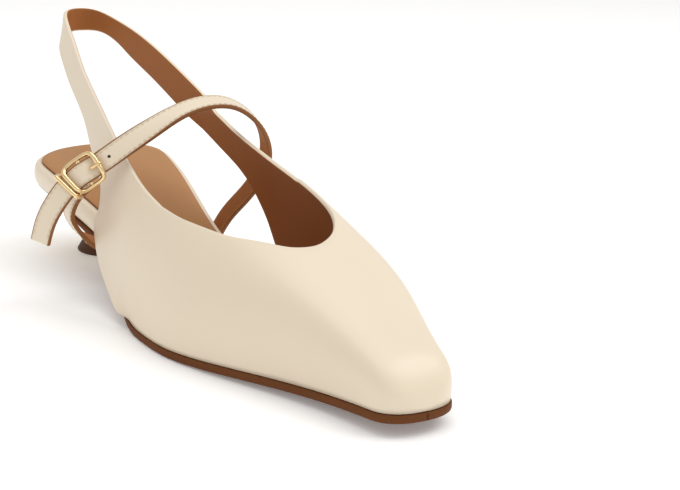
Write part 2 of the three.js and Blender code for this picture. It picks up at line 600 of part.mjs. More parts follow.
function vampRibs(count) {
  const half = 60;
  const lateralSide = [];
  const medialSide = [];
  for (const [list, foot, medial] of [[lateralSide, LATERAL_FOOT, false], [medialSide, MEDIAL_FOOT, true]]) {
    for (let i = 0; i <= half * 2; i += 1) {
      const straight = i <= half;
      const turn = (i - half) / half * Math.PI / 2;
      const start = 1 - TOE_RADIUS / LENGTH;
      const s = straight ? lerp(foot, start, i / half)
        : start + TOE_RADIUS / LENGTH * Math.sin(turn) ** (2 / TOE_POWER);
      const factor = straight ? 1 : Math.max(Math.cos(turn), 0) ** (2 / TOE_POWER);
      const sole = (soleLateral(s) + soleMedial(s)) / 2;
      const body = (lastLateral(s) + lastMedial(s)) / 2;
      const soleSide = medial ? soleMedial(s) : soleLateral(s);
      const bodySide = medial ? lastMedial(s) : lastLateral(s);
      list.push({
        sole: new THREE.Vector2(BACK + s * LENGTH, sole + (soleSide - sole) * factor),
        body: new THREE.Vector2(BACK + s * LENGTH, body + (bodySide - body) * factor),
      });
    }
  }
  const route = [...lateralSide, ...medialSide.slice(0, -1).reverse()];
  const middle = lateralSide.length - 1;
  const travelled = [0];
  for (let i = 1; i < route.length; i += 1) {
    travelled.push(travelled[i - 1] + route[i].sole.distanceTo(route[i - 1].sole));
  }
  const outward = route.map((point, i) => {
    const way = route[Math.min(i + 1, route.length - 1)].sole.clone().sub(route[Math.max(i - 1, 0)].sole);
    return new THREE.Vector2(way.y, -way.x).normalize();
  });
  const topAlong = column(VAMP_ROWS, 'reach', LENGTH, 'topAlong');
  const topSide = column(VAMP_ROWS, 'reach', BALL_WIDTH, 'topSide');
  const ribs = [];
  for (let i = 0; i <= count; i += 1) {
    const reach = lerp(-1, 1, i / count);
    const distance = reach < 0 ? (1 + reach) * travelled[middle]
      : lerp(travelled[middle], travelled[route.length - 1], reach);
    let j = 0;
    while (j < route.length - 2 && travelled[j + 1] < distance) {
      j += 1;
    }
    const f = (distance - travelled[j]) / (travelled[j + 1] - travelled[j]);
    const sole = route[j].sole.clone().lerp(route[j + 1].sole, f);
    const body = route[j].body.clone().lerp(route[j + 1].body, f);
    const normal = outward[j].clone().lerp(outward[j + 1], f).normalize();
    const draw = sole.addScaledVector(normal, -UPPER_INSET).sub(body);
    const foot = body.clone().add(draw);
    const low = { x: body.x, y: body.y, z: topAt(foot.x) + CLEARANCE, turn: 0 };
    ribs.push(rib(low, new THREE.Vector2(BACK + topAlong(reach), topSide(reach)), draw));
  }
  return ribs;
}

// Ribs of the sling, carried on smoothly from the last ribs of the two wings
function slingRibs(before, after, count) {
  const rows = SLING_ROWS.map((row) => {
    const low = place(...row.low);
    const top = place(...row.top);
    return before[0].map((point, k) => low.clone().lerp(top, k / RIB_STEPS));
  });
  const keys = [...before, ...rows, ...after];
  const ts = [0];
  for (let i = 1; i < keys.length; i += 1) {
    const middle = Math.floor(RIB_STEPS / 2);
    ts.push(ts[i - 1] + keys[i][middle].distanceTo(keys[i - 1][middle]));
  }
  const start = ts[before.length - 1];
  const end = ts[keys.length - after.length];
  const curves = keys[0].map((point, k) => ['x', 'y', 'z'].map(
    (axis) => naturalSpline(ts, keys.map((key) => key[k][axis]))));
  const ribs = [];
  for (let i = 1; i < count; i += 1) {
    const t = lerp(start, end, i / count);
    ribs.push(curves.map((curve) => new THREE.Vector3(...curve.map((axis) => axis(t)))));
  }
  return ribs;
}

// The table of a wing, closed by the rib in which it meets the vamp
function wholeWing(rows, foot, vampRow) {
  const throat = lastHeight(BACK + vampRow.topAlong * LENGTH, vampRow.topSide * BALL_WIDTH);
  return [...rows, {
    lowAlong: foot,
    lowHeight: (topAt(BACK + foot * LENGTH) + CLEARANCE) / SLING_HEIGHT,
    topAlong: vampRow.topAlong,
    topHeight: throat / SLING_HEIGHT,
  }];
}

function upperSolid() {
  const lateralRows = wholeWing(LATERAL_WING_ROWS, LATERAL_FOOT, VAMP_ROWS[0]);
  const medialRows = wholeWing(MEDIAL_WING_ROWS, MEDIAL_FOOT, VAMP_ROWS[VAMP_ROWS.length - 1]);
  const lateral = wingRibs(lateralRows, false, LATERAL_FOOT, WING_RIBS);
  const vamp = vampRibs(VAMP_RIBS);
  const medial = wingRibs(medialRows, true, MEDIAL_FOOT, WING_RIBS).reverse();
  const sling = slingRibs(medial.slice(-3), lateral.slice(0, 3), SLING_RIBS);
  const settle = (point, i) => {
    if (i >= lateral.length && i < lateral.length + vamp.length) {
      point.z = topAt(point.x) + CLEARANCE;
    }
    return point;
  };
  return wall([...lateral, ...vamp, ...medial, ...sling], UPPER_WALL, true, settle);
}

// Narrow straps: a band along its middle line. A point of it is named by the distance along the line, the
// distance towards the back edge and the height over the middle of its thickness.
function band(rows, width) {
  const centres = rows.map((row) => place(row.along, row.side, 0).setZ(row.height * INSTEP_HEIGHT));
  const ts = [0];
  for (let i = 1; i < centres.length; i += 1) {
    ts.push(ts[i - 1] + centres[i].distanceTo(centres[i - 1]));
  }
  const path = ['x', 'y', 'z'].map((axis) => naturalSpline(ts, centres.map((centre) => centre[axis])));
  const edge = [0, 1, 2].map((axis) => naturalSpline(ts, rows.map((row) => row.edge[axis])));
  const breadth = naturalSpline(ts, rows.map((row) => row.width ?? width));
  const middle = (t) => new THREE.Vector3(...path.map((axis) => axis(t)));
  const at = (t, across, height) => {
    const tangent = middle(t + 0.5).sub(middle(t - 0.5)).normalize();
    const way = new THREE.Vector3(...edge.map((axis) => axis(t)));
    way.addScaledVector(tangent, -way.dot(tangent)).normalize();
    const outwards = way.clone().cross(tangent);
    return middle(t).addScaledVector(way, across).addScaledVector(outwards, height);
  };
  return { at, breadth, length: ts[ts.length - 1] };
}

function bandSolid(strap, stations, lift) {
  const grid = stations.map((t) => [0.5, 0, -0.5].map(
    (part) => strap.at(t, part * strap.breadth(t), lift(t) + STRAP_THICKNESS / 2)));
  return wall(grid, STRAP_THICKNESS, false);
}

const evenly = (from, to, steps) => Array.from({ length: steps }, (unused, i) => lerp(from, to, i / steps));

// Buckle: end bars over the instep strap, middle bar and buckle strap under it, prong through its hole
const instep = band(INSTEP_STRAP_ROWS, STRAP_WIDTH);
const buckleMiddle = BUCKLE_AT * instep.length;
const buckleReach = (BUCKLE_LENGTH - BUCKLE_WIRE) / 2;
const buckleSide = (BUCKLE_WIDTH - BUCKLE_WIRE) / 2;
const overStrap = STRAP_THICKNESS / 2 + BUCKLE_PLAY;
const strapLift = (t) => {
  const far = Math.abs(t - buckleMiddle) / buckleReach;
  const fade = far < 1 ? 1 : (1 + Math.cos((far - 1) * Math.PI)) / 2;
  return far < 2 ? BUCKLE_LIFT * Math.cos(far * Math.PI) * fade : 0;
};
const endBarHeight = -BUCKLE_LIFT + overStrap + BUCKLE_WIRE / 2;
const middleBarHeight = BUCKLE_LIFT - overStrap - MIDDLE_BAR_WIRE / 2;
const frameHeight = (along) => lerp(middleBarHeight, endBarHeight, (along / buckleReach) ** 2);

function roundedLoop(reach, side, count) {
  return Array.from({ length: count }, (unused, i) => {
    const turn = i / count * 2 * Math.PI;
    const bend = (value) => Math.sign(value) * Math.abs(value) ** (2 / LOOP_POWER);
    return [reach * bend(Math.cos(turn)), side * bend(Math.sin(turn))];
  });
}

function buckleFrame() {
  const rim = roundedLoop(buckleReach, buckleSide, 28).map(([along, across]) => instep.at(
    buckleMiddle + along, across, frameHeight(along)));
  const bar = [-1, 1].map((side) => instep.at(buckleMiddle, side * buckleSide, middleBarHeight));
  return join(wire(rim, BUCKLE_WIRE, 6, true), wire([bar[0], bar[0].clone().lerp(bar[1], 0.5), bar[1]],
    MIDDLE_BAR_WIRE, 6, false));
}

// Keeper: an upright loop behind the buckle that holds the tail
function keeperSolid() {
  const t = buckleMiddle + buckleReach + BUCKLE_WIRE + CLEARANCE;
  const top = strapLift(t) + overStrap + KEEPER_WIRE / 2;
  const loop = roundedLoop(KEEPER_DEPTH / 2, buckleSide, 24).map(([depth, across]) => instep.at(
    t, across, top - KEEPER_DEPTH / 2 + depth));
  return wire(loop, KEEPER_WIRE, 6, true);
}

const prongHole = buckleMiddle - buckleReach * PRONG_HOLE;
function prongSolid() {
  const start = buckleMiddle - (MIDDLE_BAR_WIRE + PRONG_WIRE) / 2 - CLEARANCE;
  const under = -overStrap - PRONG_WIRE;
  const over = endBarHeight + (BUCKLE_WIRE + PRONG_WIRE) / 2 + CLEARANCE;
  const path = [
    [start, lerp(middleBarHeight, under, 0.4)],
    [lerp(start, prongHole, 0.6), under],
    [prongHole, lerp(under, 0, 0.25)],
    [prongHole, 0],
    [prongHole, lerp(0, over, 0.45)],
    [lerp(prongHole, buckleMiddle - buckleReach, 0.4), lerp(0, over, 0.9)],
    [buckleMiddle - buckleReach, over],
    [buckleMiddle - buckleReach - PRONG_WIRE, over - CLEARANCE],
  ];
  return wire(path.map(([t, height]) => instep.at(t, 0, height)), PRONG_WIRE, 6, false);
}

// Boolean joining and cutting of closed solids
function toManifold(geometry) {
  const bare = new THREE.BufferGeometry();
  bare.setAttribute('position', geometry.attributes.position);
  bare.setIndex(geometry.index);
  const merged = mergeVertices(bare, 1e-4);
  return new wasm.Manifold(new wasm.Mesh({
    numProp: 3,
    vertProperties: new Float32Array(merged.attributes.position.array),
    triVerts: new Uint32Array(merged.index.array),
  }));
}

function fromManifold(body) {
  const mesh = body.getMesh();
  const geometry = new THREE.BufferGeometry();
  geometry.setAttribute('position', new THREE.BufferAttribute(new Float32Array(mesh.vertProperties), 3));
  geometry.setIndex(Array.from(mesh.triVerts));
  geometry.computeVertexNormals();
  return geometry;
}

const join = (a, b) => fromManifold(toManifold(a).add(toManifold(b)));
const cut = (a, b) => fromManifold(toManifold(a).subtract(toManifold(b)));

// Room that the strap feet leave to the sole's edge
const soleRoom = () => plate(footbedOutline, [
  { inset: -CLEARANCE, height: () => 0 },
  { inset: -CLEARANCE, height: (x) => footbedTop(x) + CLEARANCE },
]);

function instepStrapSolid() {
  const near = 2 * buckleReach;
  const stations = [
    ...evenly(0, buckleMiddle - near, 40),
    ...evenly(buckleMiddle - near, buckleMiddle + near, 24),
    ...evenly(buckleMiddle + near, instep.length, 8),
    instep.length,
  ];
  const pin = [-STRAP_THICKNESS, 0, STRAP_THICKNESS].map((height) => instep.at(prongHole, 0, height));
  const whole = cut(bandSolid(instep, stations, strapLift), wire(pin, PRONG_WIRE + 3 * CLEARANCE, 8, false));
  return cut(whole, soleRoom());
}

function buckleStrapSolid() {
  const strap = band(BUCKLE_STRAP_ROWS, STRAP_WIDTH);
  return cut(bandSolid(strap, [...evenly(0, strap.length, 20), strap.length], () => 0), soleRoom());
}

// Heel: a turned spool that spreads to the seat, with its top piece
function rayReach(points, angle) {
  const way = new THREE.Vector2(Math.cos(angle), Math.sin(angle));
  let best = 0;
  for (let i = 0; i < points.length; i += 1) {
    const a = points[i];
    const b = points[(i + 1) % points.length];
    const side = b.clone().sub(a);
    const across = way.x * side.y - way.y * side.x;
    if (Math.abs(across) > TINY) {
      const reach = (a.x * side.y - a.y * side.x) / across;
      const share = (a.x * way.y - a.y * way.x) / across;
      if (reach > 0 && share >= 0 && share <= 1) {
        best = Math.max(best, reach);
      }
    }
  }
  return best;
}

const HEEL_SIDES = 40;
function loft(rings) {
  const positions = rings.flat();
  const triangles = [];
  for (let r = 0; r < rings.length - 1; r += 1) {
    for (let i = 0; i < HEEL_SIDES; i += 1) {
      const j = (i + 1) % HEEL_SIDES;
      const low = r * HEEL_SIDES;
      const high = low + HEEL_SIDES;
      triangles.push(...quad(low + i, low + j, high + j, high + i));
    }
  }
  const top = (rings.length - 1) * HEEL_SIDES;
  for (let i = 1; i < HEEL_SIDES - 1; i += 1) {
    triangles.push([0, i + 1, i]);
    triangles.push([top, top + i, top + i + 1]);
  }
  return solid(positions, triangles);
}

const circle = (radius, z, ahead) => Array.from({ length: HEEL_SIDES }, (unused, i) => {
  const angle = i / HEEL_SIDES * 2 * Math.PI;
  return new THREE.Vector3(ahead + radius * Math.cos(angle), radius * Math.sin(angle), z);
});
const heelAhead = (z) => HEEL_NECK_SHIFT * Math.min(z / HEEL_NECK_HEIGHT, 1);

// The cup's spread from the neck: share of the way out to the seat's edge and share of the way up
const HEEL_CUP_ROWS = [[0.1, 0.16], [0.3, 0.38], [0.65, 0.72], [1, 1]];

function heelSolid() {
  const from = HEEL_TIP_HEIGHT + CLEARANCE;
  const to = HEEL_HEIGHT - HEEL_CUP_DEPTH;
  const neckRadius = naturalSpline(
    [HEEL_TIP_HEIGHT, (HEEL_TIP_HEIGHT + HEEL_NECK_HEIGHT) / 2, HEEL_NECK_HEIGHT, to],
    [HEEL_TIP_TOP_RADIUS, HEEL_NECK_RADIUS + 0.6, HEEL_NECK_RADIUS, HEEL_NECK_RADIUS + 1.4]);
  const rings = [];
  for (let i = 0; i <= 6; i += 1) {
    const z = lerp(from, to, i / 6);
    rings.push(circle(neckRadius(z), z, heelAhead(z)));
  }
  const breast = BACK + HEEL_BREAST * LENGTH;
  const normals = outlineNormals(footbedOutline);
  const edge = footbedOutline.map((point, i) => {
    const inset = point.x < breast ? HEEL_CUP_INSET : 0;
    return new THREE.Vector2(
      Math.min(point.x, breast) - normals[i].x * inset - HEEL_NECK_SHIFT, point.y - normals[i].y * inset);
  });
  const neck = neckRadius(to);
  for (const [outwards, upwards] of HEEL_CUP_ROWS) {
    rings.push(circle(1, 0, 0).map((way, i) => {
      const angle = i / HEEL_SIDES * 2 * Math.PI;
      const reach = lerp(neck, rayReach(edge, angle), outwards);
      const x = HEEL_NECK_SHIFT + way.x * reach;
      const y = way.y * reach;
      const ceiling = footbedUnder(x) - CLEARANCE;
      return new THREE.Vector3(x, y, lerp(to, ceiling, upwards));
    }));
  }
  return loft(rings);
}

const tipMiddle = HEEL_TIP_HEIGHT / 2;
const topPiece = loft([
  circle(HEEL_TIP_RADIUS - 0.5, 0, 0),
  circle(HEEL_TIP_RADIUS, 0.6, 0),
  circle(lerp(HEEL_TIP_RADIUS, HEEL_TIP_TOP_RADIUS, 0.55), tipMiddle, heelAhead(tipMiddle)),
  circle(HEEL_TIP_TOP_RADIUS, HEEL_TIP_HEIGHT, heelAhead(HEEL_TIP_HEIGHT)),
]);

// Assembly
const shoe = new THREE.Group();
function add(name, geometry, color, roughness, metalness) {
  const mesh = new THREE.Mesh(geometry, new THREE.MeshStandardMaterial({ color, roughness, metalness }));
  mesh.name = name;
  shoe.add(mesh);
}

add('outsole', outsoleSolid(), BROWN, 0.6, 0);
add('footbed', footbedSolid(), CREAM, 0.45, 0);
add('sock_lining', sockSolid(), TAN, 0.6, 0);
add('upper', upperSolid(), CREAM, 0.4, 0);
add('instep_strap', instepStrapSolid(), CREAM, 0.4, 0);
add('buckle_strap', buckleStrapSolid(), CREAM, 0.4, 0);
add('buckle_frame', buckleFrame(), GOLD, 0.3, 1);
add('buckle_keeper', keeperSolid(), GOLD, 0.3, 1);
add('buckle_prong', prongSolid(), GOLD, 0.3, 1);
add('heel', heelSolid(), GOLD, 0.3, 1);
add('heel_top_piece', topPiece, BROWN, 0.6, 0);

export default shoe;
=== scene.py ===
# %% [markdown]
# # A slingback sandal in leather
# The shoe is a closed vamp with a snipped toe, a sling round the heel, a buckled instep strap and a low
# spool heel.
# Every form here is a surface worked out from a few tables, so a reader can change one row and see the
# shoe follow.
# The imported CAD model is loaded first, because all pieces have to sit where its solids sit.

# %% Load the frame
import math
import bpy
import numpy as np
from mathutils import Matrix, Vector


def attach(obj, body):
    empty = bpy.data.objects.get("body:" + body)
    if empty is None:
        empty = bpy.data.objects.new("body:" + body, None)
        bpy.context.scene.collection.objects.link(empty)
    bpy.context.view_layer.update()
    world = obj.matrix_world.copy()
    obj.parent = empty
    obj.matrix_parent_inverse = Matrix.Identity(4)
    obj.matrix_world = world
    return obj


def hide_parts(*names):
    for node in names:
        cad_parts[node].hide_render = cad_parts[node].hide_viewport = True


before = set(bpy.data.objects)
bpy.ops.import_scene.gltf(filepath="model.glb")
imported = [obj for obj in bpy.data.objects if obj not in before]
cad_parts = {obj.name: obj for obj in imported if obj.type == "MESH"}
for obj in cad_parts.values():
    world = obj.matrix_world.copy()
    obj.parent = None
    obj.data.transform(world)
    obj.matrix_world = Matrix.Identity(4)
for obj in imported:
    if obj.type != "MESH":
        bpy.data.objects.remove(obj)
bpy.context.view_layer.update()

# %% [markdown]
# ## Sizes
# All lengths are in millimetres, as a shoe maker writes them, and turn into metres when a mesh is made.
# The origin lies on the floor under the heel, +X runs to the toe and +Y to the inner side of the foot.

# %% Named sizes
LENGTH = 258.0
BACK = -24.5
BALL = 78.0
HEEL = 33.0
INSTEP = 82.0
SLING = 101.5
GAP = 0.3
WALL = 1.8
STRAP_THICK = 1.7
STRAP_WIDE = 8.2
OUTSOLE = 3.0
OUTSOLE_END = 1.0
FOOTBED = 8.6
INSOLE = 2.4
SOCK = 1.1
SOCK_INSET = 3.2
UPPER_INSET = 0.6
TUCK = 16.0
SEAT_ROUND = 27.0
TOE_ROUND = 10.0
CREST_ROUND = 12.0
BREAST = 0.185
LATERAL_FOOT = 0.507
MEDIAL_FOOT = 0.500

# %% [markdown]
# ## Curves through tables
# A maker draws a shoe by a few stations and lets the curve run between them.
# A natural cubic spline does the same: it passes through each row and bends as little as a thin lath would.
# A second kind never overshoots its rows, which suits edges that turn a corner.

# %% Spline helpers
def natural(ts, vs):
    """Natural cubic spline: the second slopes solve one linear system, and the ends stay straight."""
    ts = np.asarray(ts, float)
    vs = np.asarray(vs, float)
    h = np.diff(ts)
    n = len(ts)
    a = np.eye(n)
    i = np.arange(1, n - 1)
    a[i, i - 1] = h[:-1]
    a[i, i] = 2 * (h[:-1] + h[1:])
    a[i, i + 1] = h[1:]
    step = h.reshape((-1,) + (1,) * (vs.ndim - 1))
    slopes = np.diff(vs, axis=0) / step
    b = np.zeros_like(vs)
    b[1:-1] = 6 * np.diff(slopes, axis=0)
    bend = np.linalg.solve(a, b.reshape(n, -1)).reshape(vs.shape)

    def curve(t):
        t = np.asarray(t, float)
        k = np.clip(np.searchsorted(ts, t) - 1, 0, n - 2)
        grow = t.shape + (1,) * (vs.ndim - 1)
        left = ((ts[k + 1] - t) / h[k]).reshape(grow)
        right = 1 - left
        size = h[k].reshape(grow)
        return (left * vs[k] + right * vs[k + 1]
                + ((left ** 3 - left) * bend[k] + (right ** 3 - right) * bend[k + 1]) * size ** 2 / 6)
    return curve


def stepped(vs):
    """Monotone cubic over row numbers: a slope is its neighbours' harmonic mean, or 0 at a turn."""
    v = np.asarray(vs, float)
    d = np.diff(v)
    before = np.concatenate([d[:1], d])
    after = np.concatenate([d, d[-1:]])
    same = before * after > 0
    slope = np.where(same, 2 * before * after / np.where(same, before + after, 1), 0)

    def curve(t):
        t = np.asarray(t, float)
        i = np.clip(np.floor(t).astype(int), 0, len(v) - 2)
        f = t - i
        hold = (1 + 2 * f) * (1 - f) ** 2
        return (hold * v[i] + f * (1 - f) ** 2 * slope[i]
                + (1 - hold) * v[i + 1] + f * f * (f - 1) * slope[i + 1])
    return curve


def smooth(t):
    """Smooth step from 0 to 1."""
    t = np.clip(t, 0, 1)
    return t * t * (3 - 2 * t)


def mix(a, b, t):
    """Straight blend from a to b."""
    return a + (b - a) * t


def travel(path):
    """Way along a path at each of its points: the running sum of the steps between them."""
    return np.concatenate([[0], np.cumsum(np.linalg.norm(np.diff(path, axis=0), axis=1))])


print("spline of 0, 1, 4 at 1.5:", float(natural([0, 1, 2], [0, 1, 4])(1.5)))

# %% [markdown]
# ## The sole and the last
# Leather is pulled over a last, a solid foot form, and the sole is cut to the last's edge.
# The tables give both along the shoe: the sole's outline and height, and the last's widest line and top
# line.
# Lengths are shares of the named sizes, so the same rows would serve another shoe size.

# %% Tables of the sole and the last
# along, lateral, medial, top
SOLE = np.array([
    [0.00, -0.365, 0.430, 1.000], [0.10, -0.420, 0.380, 0.965], [0.20, -0.415, 0.322, 0.880],
    [0.30, -0.365, 0.265, 0.695], [0.38, -0.345, 0.250, 0.445], [0.45, -0.415, 0.290, 0.215],
    [0.51, -0.462, 0.358, 0.105], [0.57, -0.472, 0.430, 0.088], [0.62, -0.460, 0.478, 0.090],
    [0.68, -0.408, 0.493, 0.105], [0.76, -0.305, 0.462, 0.137], [0.84, -0.200, 0.393, 0.168],
    [0.92, -0.125, 0.318, 0.200], [1.00, -0.078, 0.262, 0.232]])
# along, lateral, medial, drop, ridge, side of the ridge, fullness
LAST = np.array([
    [0.28, -0.400, 0.350, 0.20, 1.160, -0.005, 0.00], [0.38, -0.455, 0.380, 0.20, 1.080, -0.012, 0.00],
    [0.43, -0.470, 0.405, 0.14, 1.020, -0.035, 0.00], [0.49, -0.484, 0.445, 0.00, 0.947, -0.040, 0.00],
    [0.56, -0.490, 0.484, 0.00, 0.862, 0.010, 0.00], [0.62, -0.478, 0.508, 0.00, 0.760, 0.066, 0.01],
    [0.68, -0.424, 0.518, 0.00, 0.652, 0.100, 0.03], [0.76, -0.317, 0.480, 0.00, 0.543, 0.105, 0.06],
    [0.84, -0.213, 0.408, 0.00, 0.440, 0.120, 0.08], [0.92, -0.138, 0.325, 0.00, 0.335, 0.108, 0.08],
    [1.00, -0.090, 0.268, 0.00, 0.232, 0.092, 0.08]])
# reach round the toe, along and side of the throat's edge
VAMP = np.array([
    [-1.00, 0.548, -0.366], [-0.80, 0.598, -0.338], [-0.60, 0.645, -0.287], [-0.40, 0.690, -0.216],
    [-0.22, 0.728, -0.125], [-0.08, 0.751, -0.045], [0.02, 0.757, 0.035], [0.12, 0.752, 0.100],
    [0.25, 0.737, 0.172], [0.42, 0.707, 0.246], [0.60, 0.668, 0.294], [0.80, 0.622, 0.303],
    [1.00, 0.590, 0.296]])

def columns_of(table, sizes):
    """A spline over the table's first column for each other column, times its named size."""
    return [natural(table[:, 0], table[:, c] * size) for c, size in enumerate(sizes, 1)]


sole_lateral, sole_medial, sole_top = columns_of(SOLE, (BALL, BALL, HEEL))
(last_lateral, last_medial, last_drop, last_ridge, last_ridge_side,
 last_full) = columns_of(LAST, (BALL, BALL, HEEL, INSTEP, BALL, 1))
throat_along, throat_side = columns_of(VAMP, (LENGTH, BALL))


def share(x):
    """Distance from the back of the seat as a share of the length."""
    return (x - BACK) / LENGTH


print("ball width", round(float(last_medial(0.62) - last_lateral(0.62)), 1), "mm")

# %% [markdown]
# ## From the tables to points on the last
# Across the foot the last is a half ellipse, a little fuller at the shoulders towards the toe.
# Both ends are rounded by a factor that falls from 1 to 0 like the side of a superellipse.

# %% The last as a height over the plan
TOE_POWER = 2.4
CREST_POWER = 2.2


def ending(distance, radius, power):
    """Superellipse factor: 1 away from the end, 0 at it."""
    t = np.clip(1 - distance / radius, 0, 1)
    return (1 - t ** power) ** (1 / power)


def fuller(u, q):
    """Odd cubic that keeps 0 and 1 and swells between them."""
    return ((1 + 3 * q) * u - 4 * q * u ** 3) / (1 - q)


def unfuller(value, q):
    """Inverse of fuller, by six Newton steps."""
    u = np.clip(value, 0, 1)
    for step in range(6):
        u = u - (fuller(u, q) - value) * (1 - q) / (1 + 3 * q - 12 * q * u * u)
    return np.clip(u, 0, 1)


def last_base(s):
    """Height of the last's lower edge: the sole's top less the drop, plus the gap."""
    return sole_top(s) - last_drop(s) + GAP


def last_rise(s):
    """Rise of the ridge over the lower edge, rounded off at the toe."""
    return (last_ridge(s) - last_base(s)) * ending((1 - s) * LENGTH, CREST_ROUND, CREST_POWER)


def last_edge(s, medial):
    """Side of the last's widest line, drawn to the middle at the toe."""
    middle = (last_lateral(s) + last_medial(s)) / 2
    side = np.where(medial, last_medial(s), last_lateral(s))
    return middle + (side - middle) * ending((1 - s) * LENGTH, TOE_ROUND, TOE_POWER)


def last_height(x, y):
    """Height of the last over a point of the plan."""
    s = np.minimum(share(x), 1)
    middle = (last_lateral(s) + last_medial(s)) / 2
    crown = middle + (last_ridge_side(s) - middle) * ending((1 - s) * LENGTH, TOE_ROUND, TOE_POWER)
    reach = np.abs(last_edge(s, y > crown) - crown)
    part = np.where(reach > 1e-6, np.clip(np.abs(y - crown) / np.maximum(reach, 1e-6), 0, 1), 0)
    q = last_full(s)
    cosine = unfuller(part, q)
    return last_base(s) + last_rise(s) * fuller(np.sqrt(1 - cosine * cosine), q)


def wing_point(s, height, medial):
    """The last's point at a station and a height: x, y and the turn up from the widest line."""
    q = last_full(s)
    sine = unfuller(np.clip((height - last_base(s)) / last_rise(s), 0, 1), q)
    cosine = fuller(np.sqrt(1 - sine * sine), q)
    return BACK + s * LENGTH, mix(last_ridge_side(s), last_edge(s, medial), cosine), np.arcsin(sine)


print("height of the throat's front", round(float(last_height(171.0, 2.5)), 1), "mm")

# %% [markdown]
# ## Meshes
# Every piece is a grid of points turned into quads. One helper does that for tubes, loops and plates.
# It closes the grid where asked, gives each face its material, and moves the piece with the shoe's body.

# %% Mesh helpers
def make_mesh(name, points, faces, slots, materials, smooth_faces=True):
    """Mesh object from points in millimetres, a list of face arrays and a material number per face."""
    mesh = bpy.data.meshes.new(name)
    mesh.from_pydata((np.asarray(points) / 1000).tolist(), [], [list(map(int, f)) for f in faces])
    for material in materials:
        mesh.materials.append(material)
    mesh.polygons.foreach_set("material_index", np.asarray(slots, np.int32))
    mesh.polygons.foreach_set("use_smooth", np.full(len(mesh.polygons), smooth_faces))
    mesh.update()
    piece = bpy.data.objects.new(name, mesh)
    bpy.context.scene.collection.objects.link(piece)
    return piece


def grid_faces(n, m, around=False, across=False):
    """Quads of an n by m grid; around closes the first direction and across the second."""
    i, k = np.meshgrid(np.arange(n if around else n - 1), np.arange(m if across else m - 1), indexing="ij")
    j = (i + 1) % n
    l = (k + 1) % m
    return np.stack([i * m + k, j * m + k, j * m + l, i * m + l], -1).reshape(-1, 4)


def outward(points, faces):
    """Turn all faces round if the volume they enclose comes out negative."""
    p = np.asarray(points)
    f = np.asarray(faces)
    volume = np.einsum("ij,ij->i", p[f[:, 0]], np.cross(p[f[:, 1]], p[f[:, 2]])).sum()
    volume += np.einsum("ij,ij->i", p[f[:, 0]], np.cross(p[f[:, 2]], p[f[:, 3]])).sum()
    return f if volume > 0 else f[:, ::-1]


def finish_piece(piece, nodes):
    """Ride on the shoe and stand for CAD nodes, which are hidden."""
    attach(piece, "root")
    if nodes:
        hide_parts(*nodes)
    print(piece.name, len(piece.data.polygons), "faces")
    return piece


# %% [markdown]
# ## Shared shader groups
# Leather shows a fine grain of small cells with a soft cloudiness over it; several finishes here need it.
# It is built once as a node group with its own sockets, and each material sets its scale and strength.

# %% Shader groups
def new_group(name, inputs, outputs):
    """Empty shader group with float inputs and outputs and their nodes."""
    group = bpy.data.node_groups.new(name, "ShaderNodeTree")
    for title, value in inputs:
        socket = group.interface.new_socket(name=title, in_out="INPUT", socket_type="NodeSocketFloat")
        socket.default_value = value
    for title in outputs:
        group.interface.new_socket(name=title, in_out="OUTPUT", socket_type="NodeSocketFloat")
    start = group.nodes.new("NodeGroupInput")
    end = group.nodes.new("NodeGroupOutput")
    return group, start, end


def add_node(tree, kind, inputs={}, **settings):
    """Shader node with its settings and the values of its sockets."""
    node = tree.nodes.new("ShaderNode" + kind)
    for name, value in settings.items():
        setattr(node, name, value)
    for socket, value in inputs.items():
        node.inputs[socket].default_value = value
    return node


def wire_up(tree, *wires):
    """Links, each from a node's output to a node's input."""
    for source, output, target, socket in wires:
        tree.links.new(source.outputs[output], target.inputs[socket])


grain, grain_in, grain_out = new_group("leather_grain", [("Cells", 900.0), ("Clouds", 25.0)],
                                       ["Height", "Cloud"])
coords = add_node(grain, "TexCoord")
cells = add_node(grain, "TexVoronoi", feature="SMOOTH_F1")
fine = add_node(grain, "TexNoise", {"Detail": 4})
cloud = add_node(grain, "TexNoise", {"Detail": 3})
half = add_node(grain, "Math", {1: 0.5}, operation="MULTIPLY_ADD")
wire_up(grain, *((coords, "Object", texture, "Vector") for texture in (cells, fine, cloud)))
wire_up(grain, (grain_in, "Cells", cells, "Scale"), (grain_in, "Cells", fine, "Scale"),
        (grain_in, "Clouds", cloud, "Scale"), (cells, "Distance", half, 0), (fine, "Fac", half, 2),
        (half, 0, grain_out, "Height"), (cloud, "Fac", grain_out, "Cloud"))

streaks, streaks_in, streaks_out = new_group("fine_streaks", [("Scale", 300.0), ("Stretch", 0.05)],
                                             ["Streak"])
coords = add_node(streaks, "TexCoord")
combine = add_node(streaks, "CombineXYZ", {"X": 1.0, "Y": 1.0})
stretch = add_node(streaks, "VectorMath", operation="MULTIPLY")
noise = add_node(streaks, "TexNoise", {"Detail": 3})
wire_up(streaks, (streaks_in, "Stretch", combine, "Z"), (coords, "Object", stretch, 0),
        (combine, 0, stretch, 1), (stretch, 0, noise, "Vector"), (streaks_in, "Scale", noise, "Scale"),
        (noise, "Fac", streaks_out, "Streak"))
print("groups", [g.name for g in bpy.data.node_groups])

# %% [markdown]
# ## Finishes
# Smooth calf leather has a soft gloss and hardly any grain, the lining and the sock are duller and browner.
# The outsole's edge is stained and waxed, and the metal is pale gold: bright on the buckle, satin on the
# heel.
# Each finish mixes two near tones by the grain's cloudiness, so that no area is one flat colour.

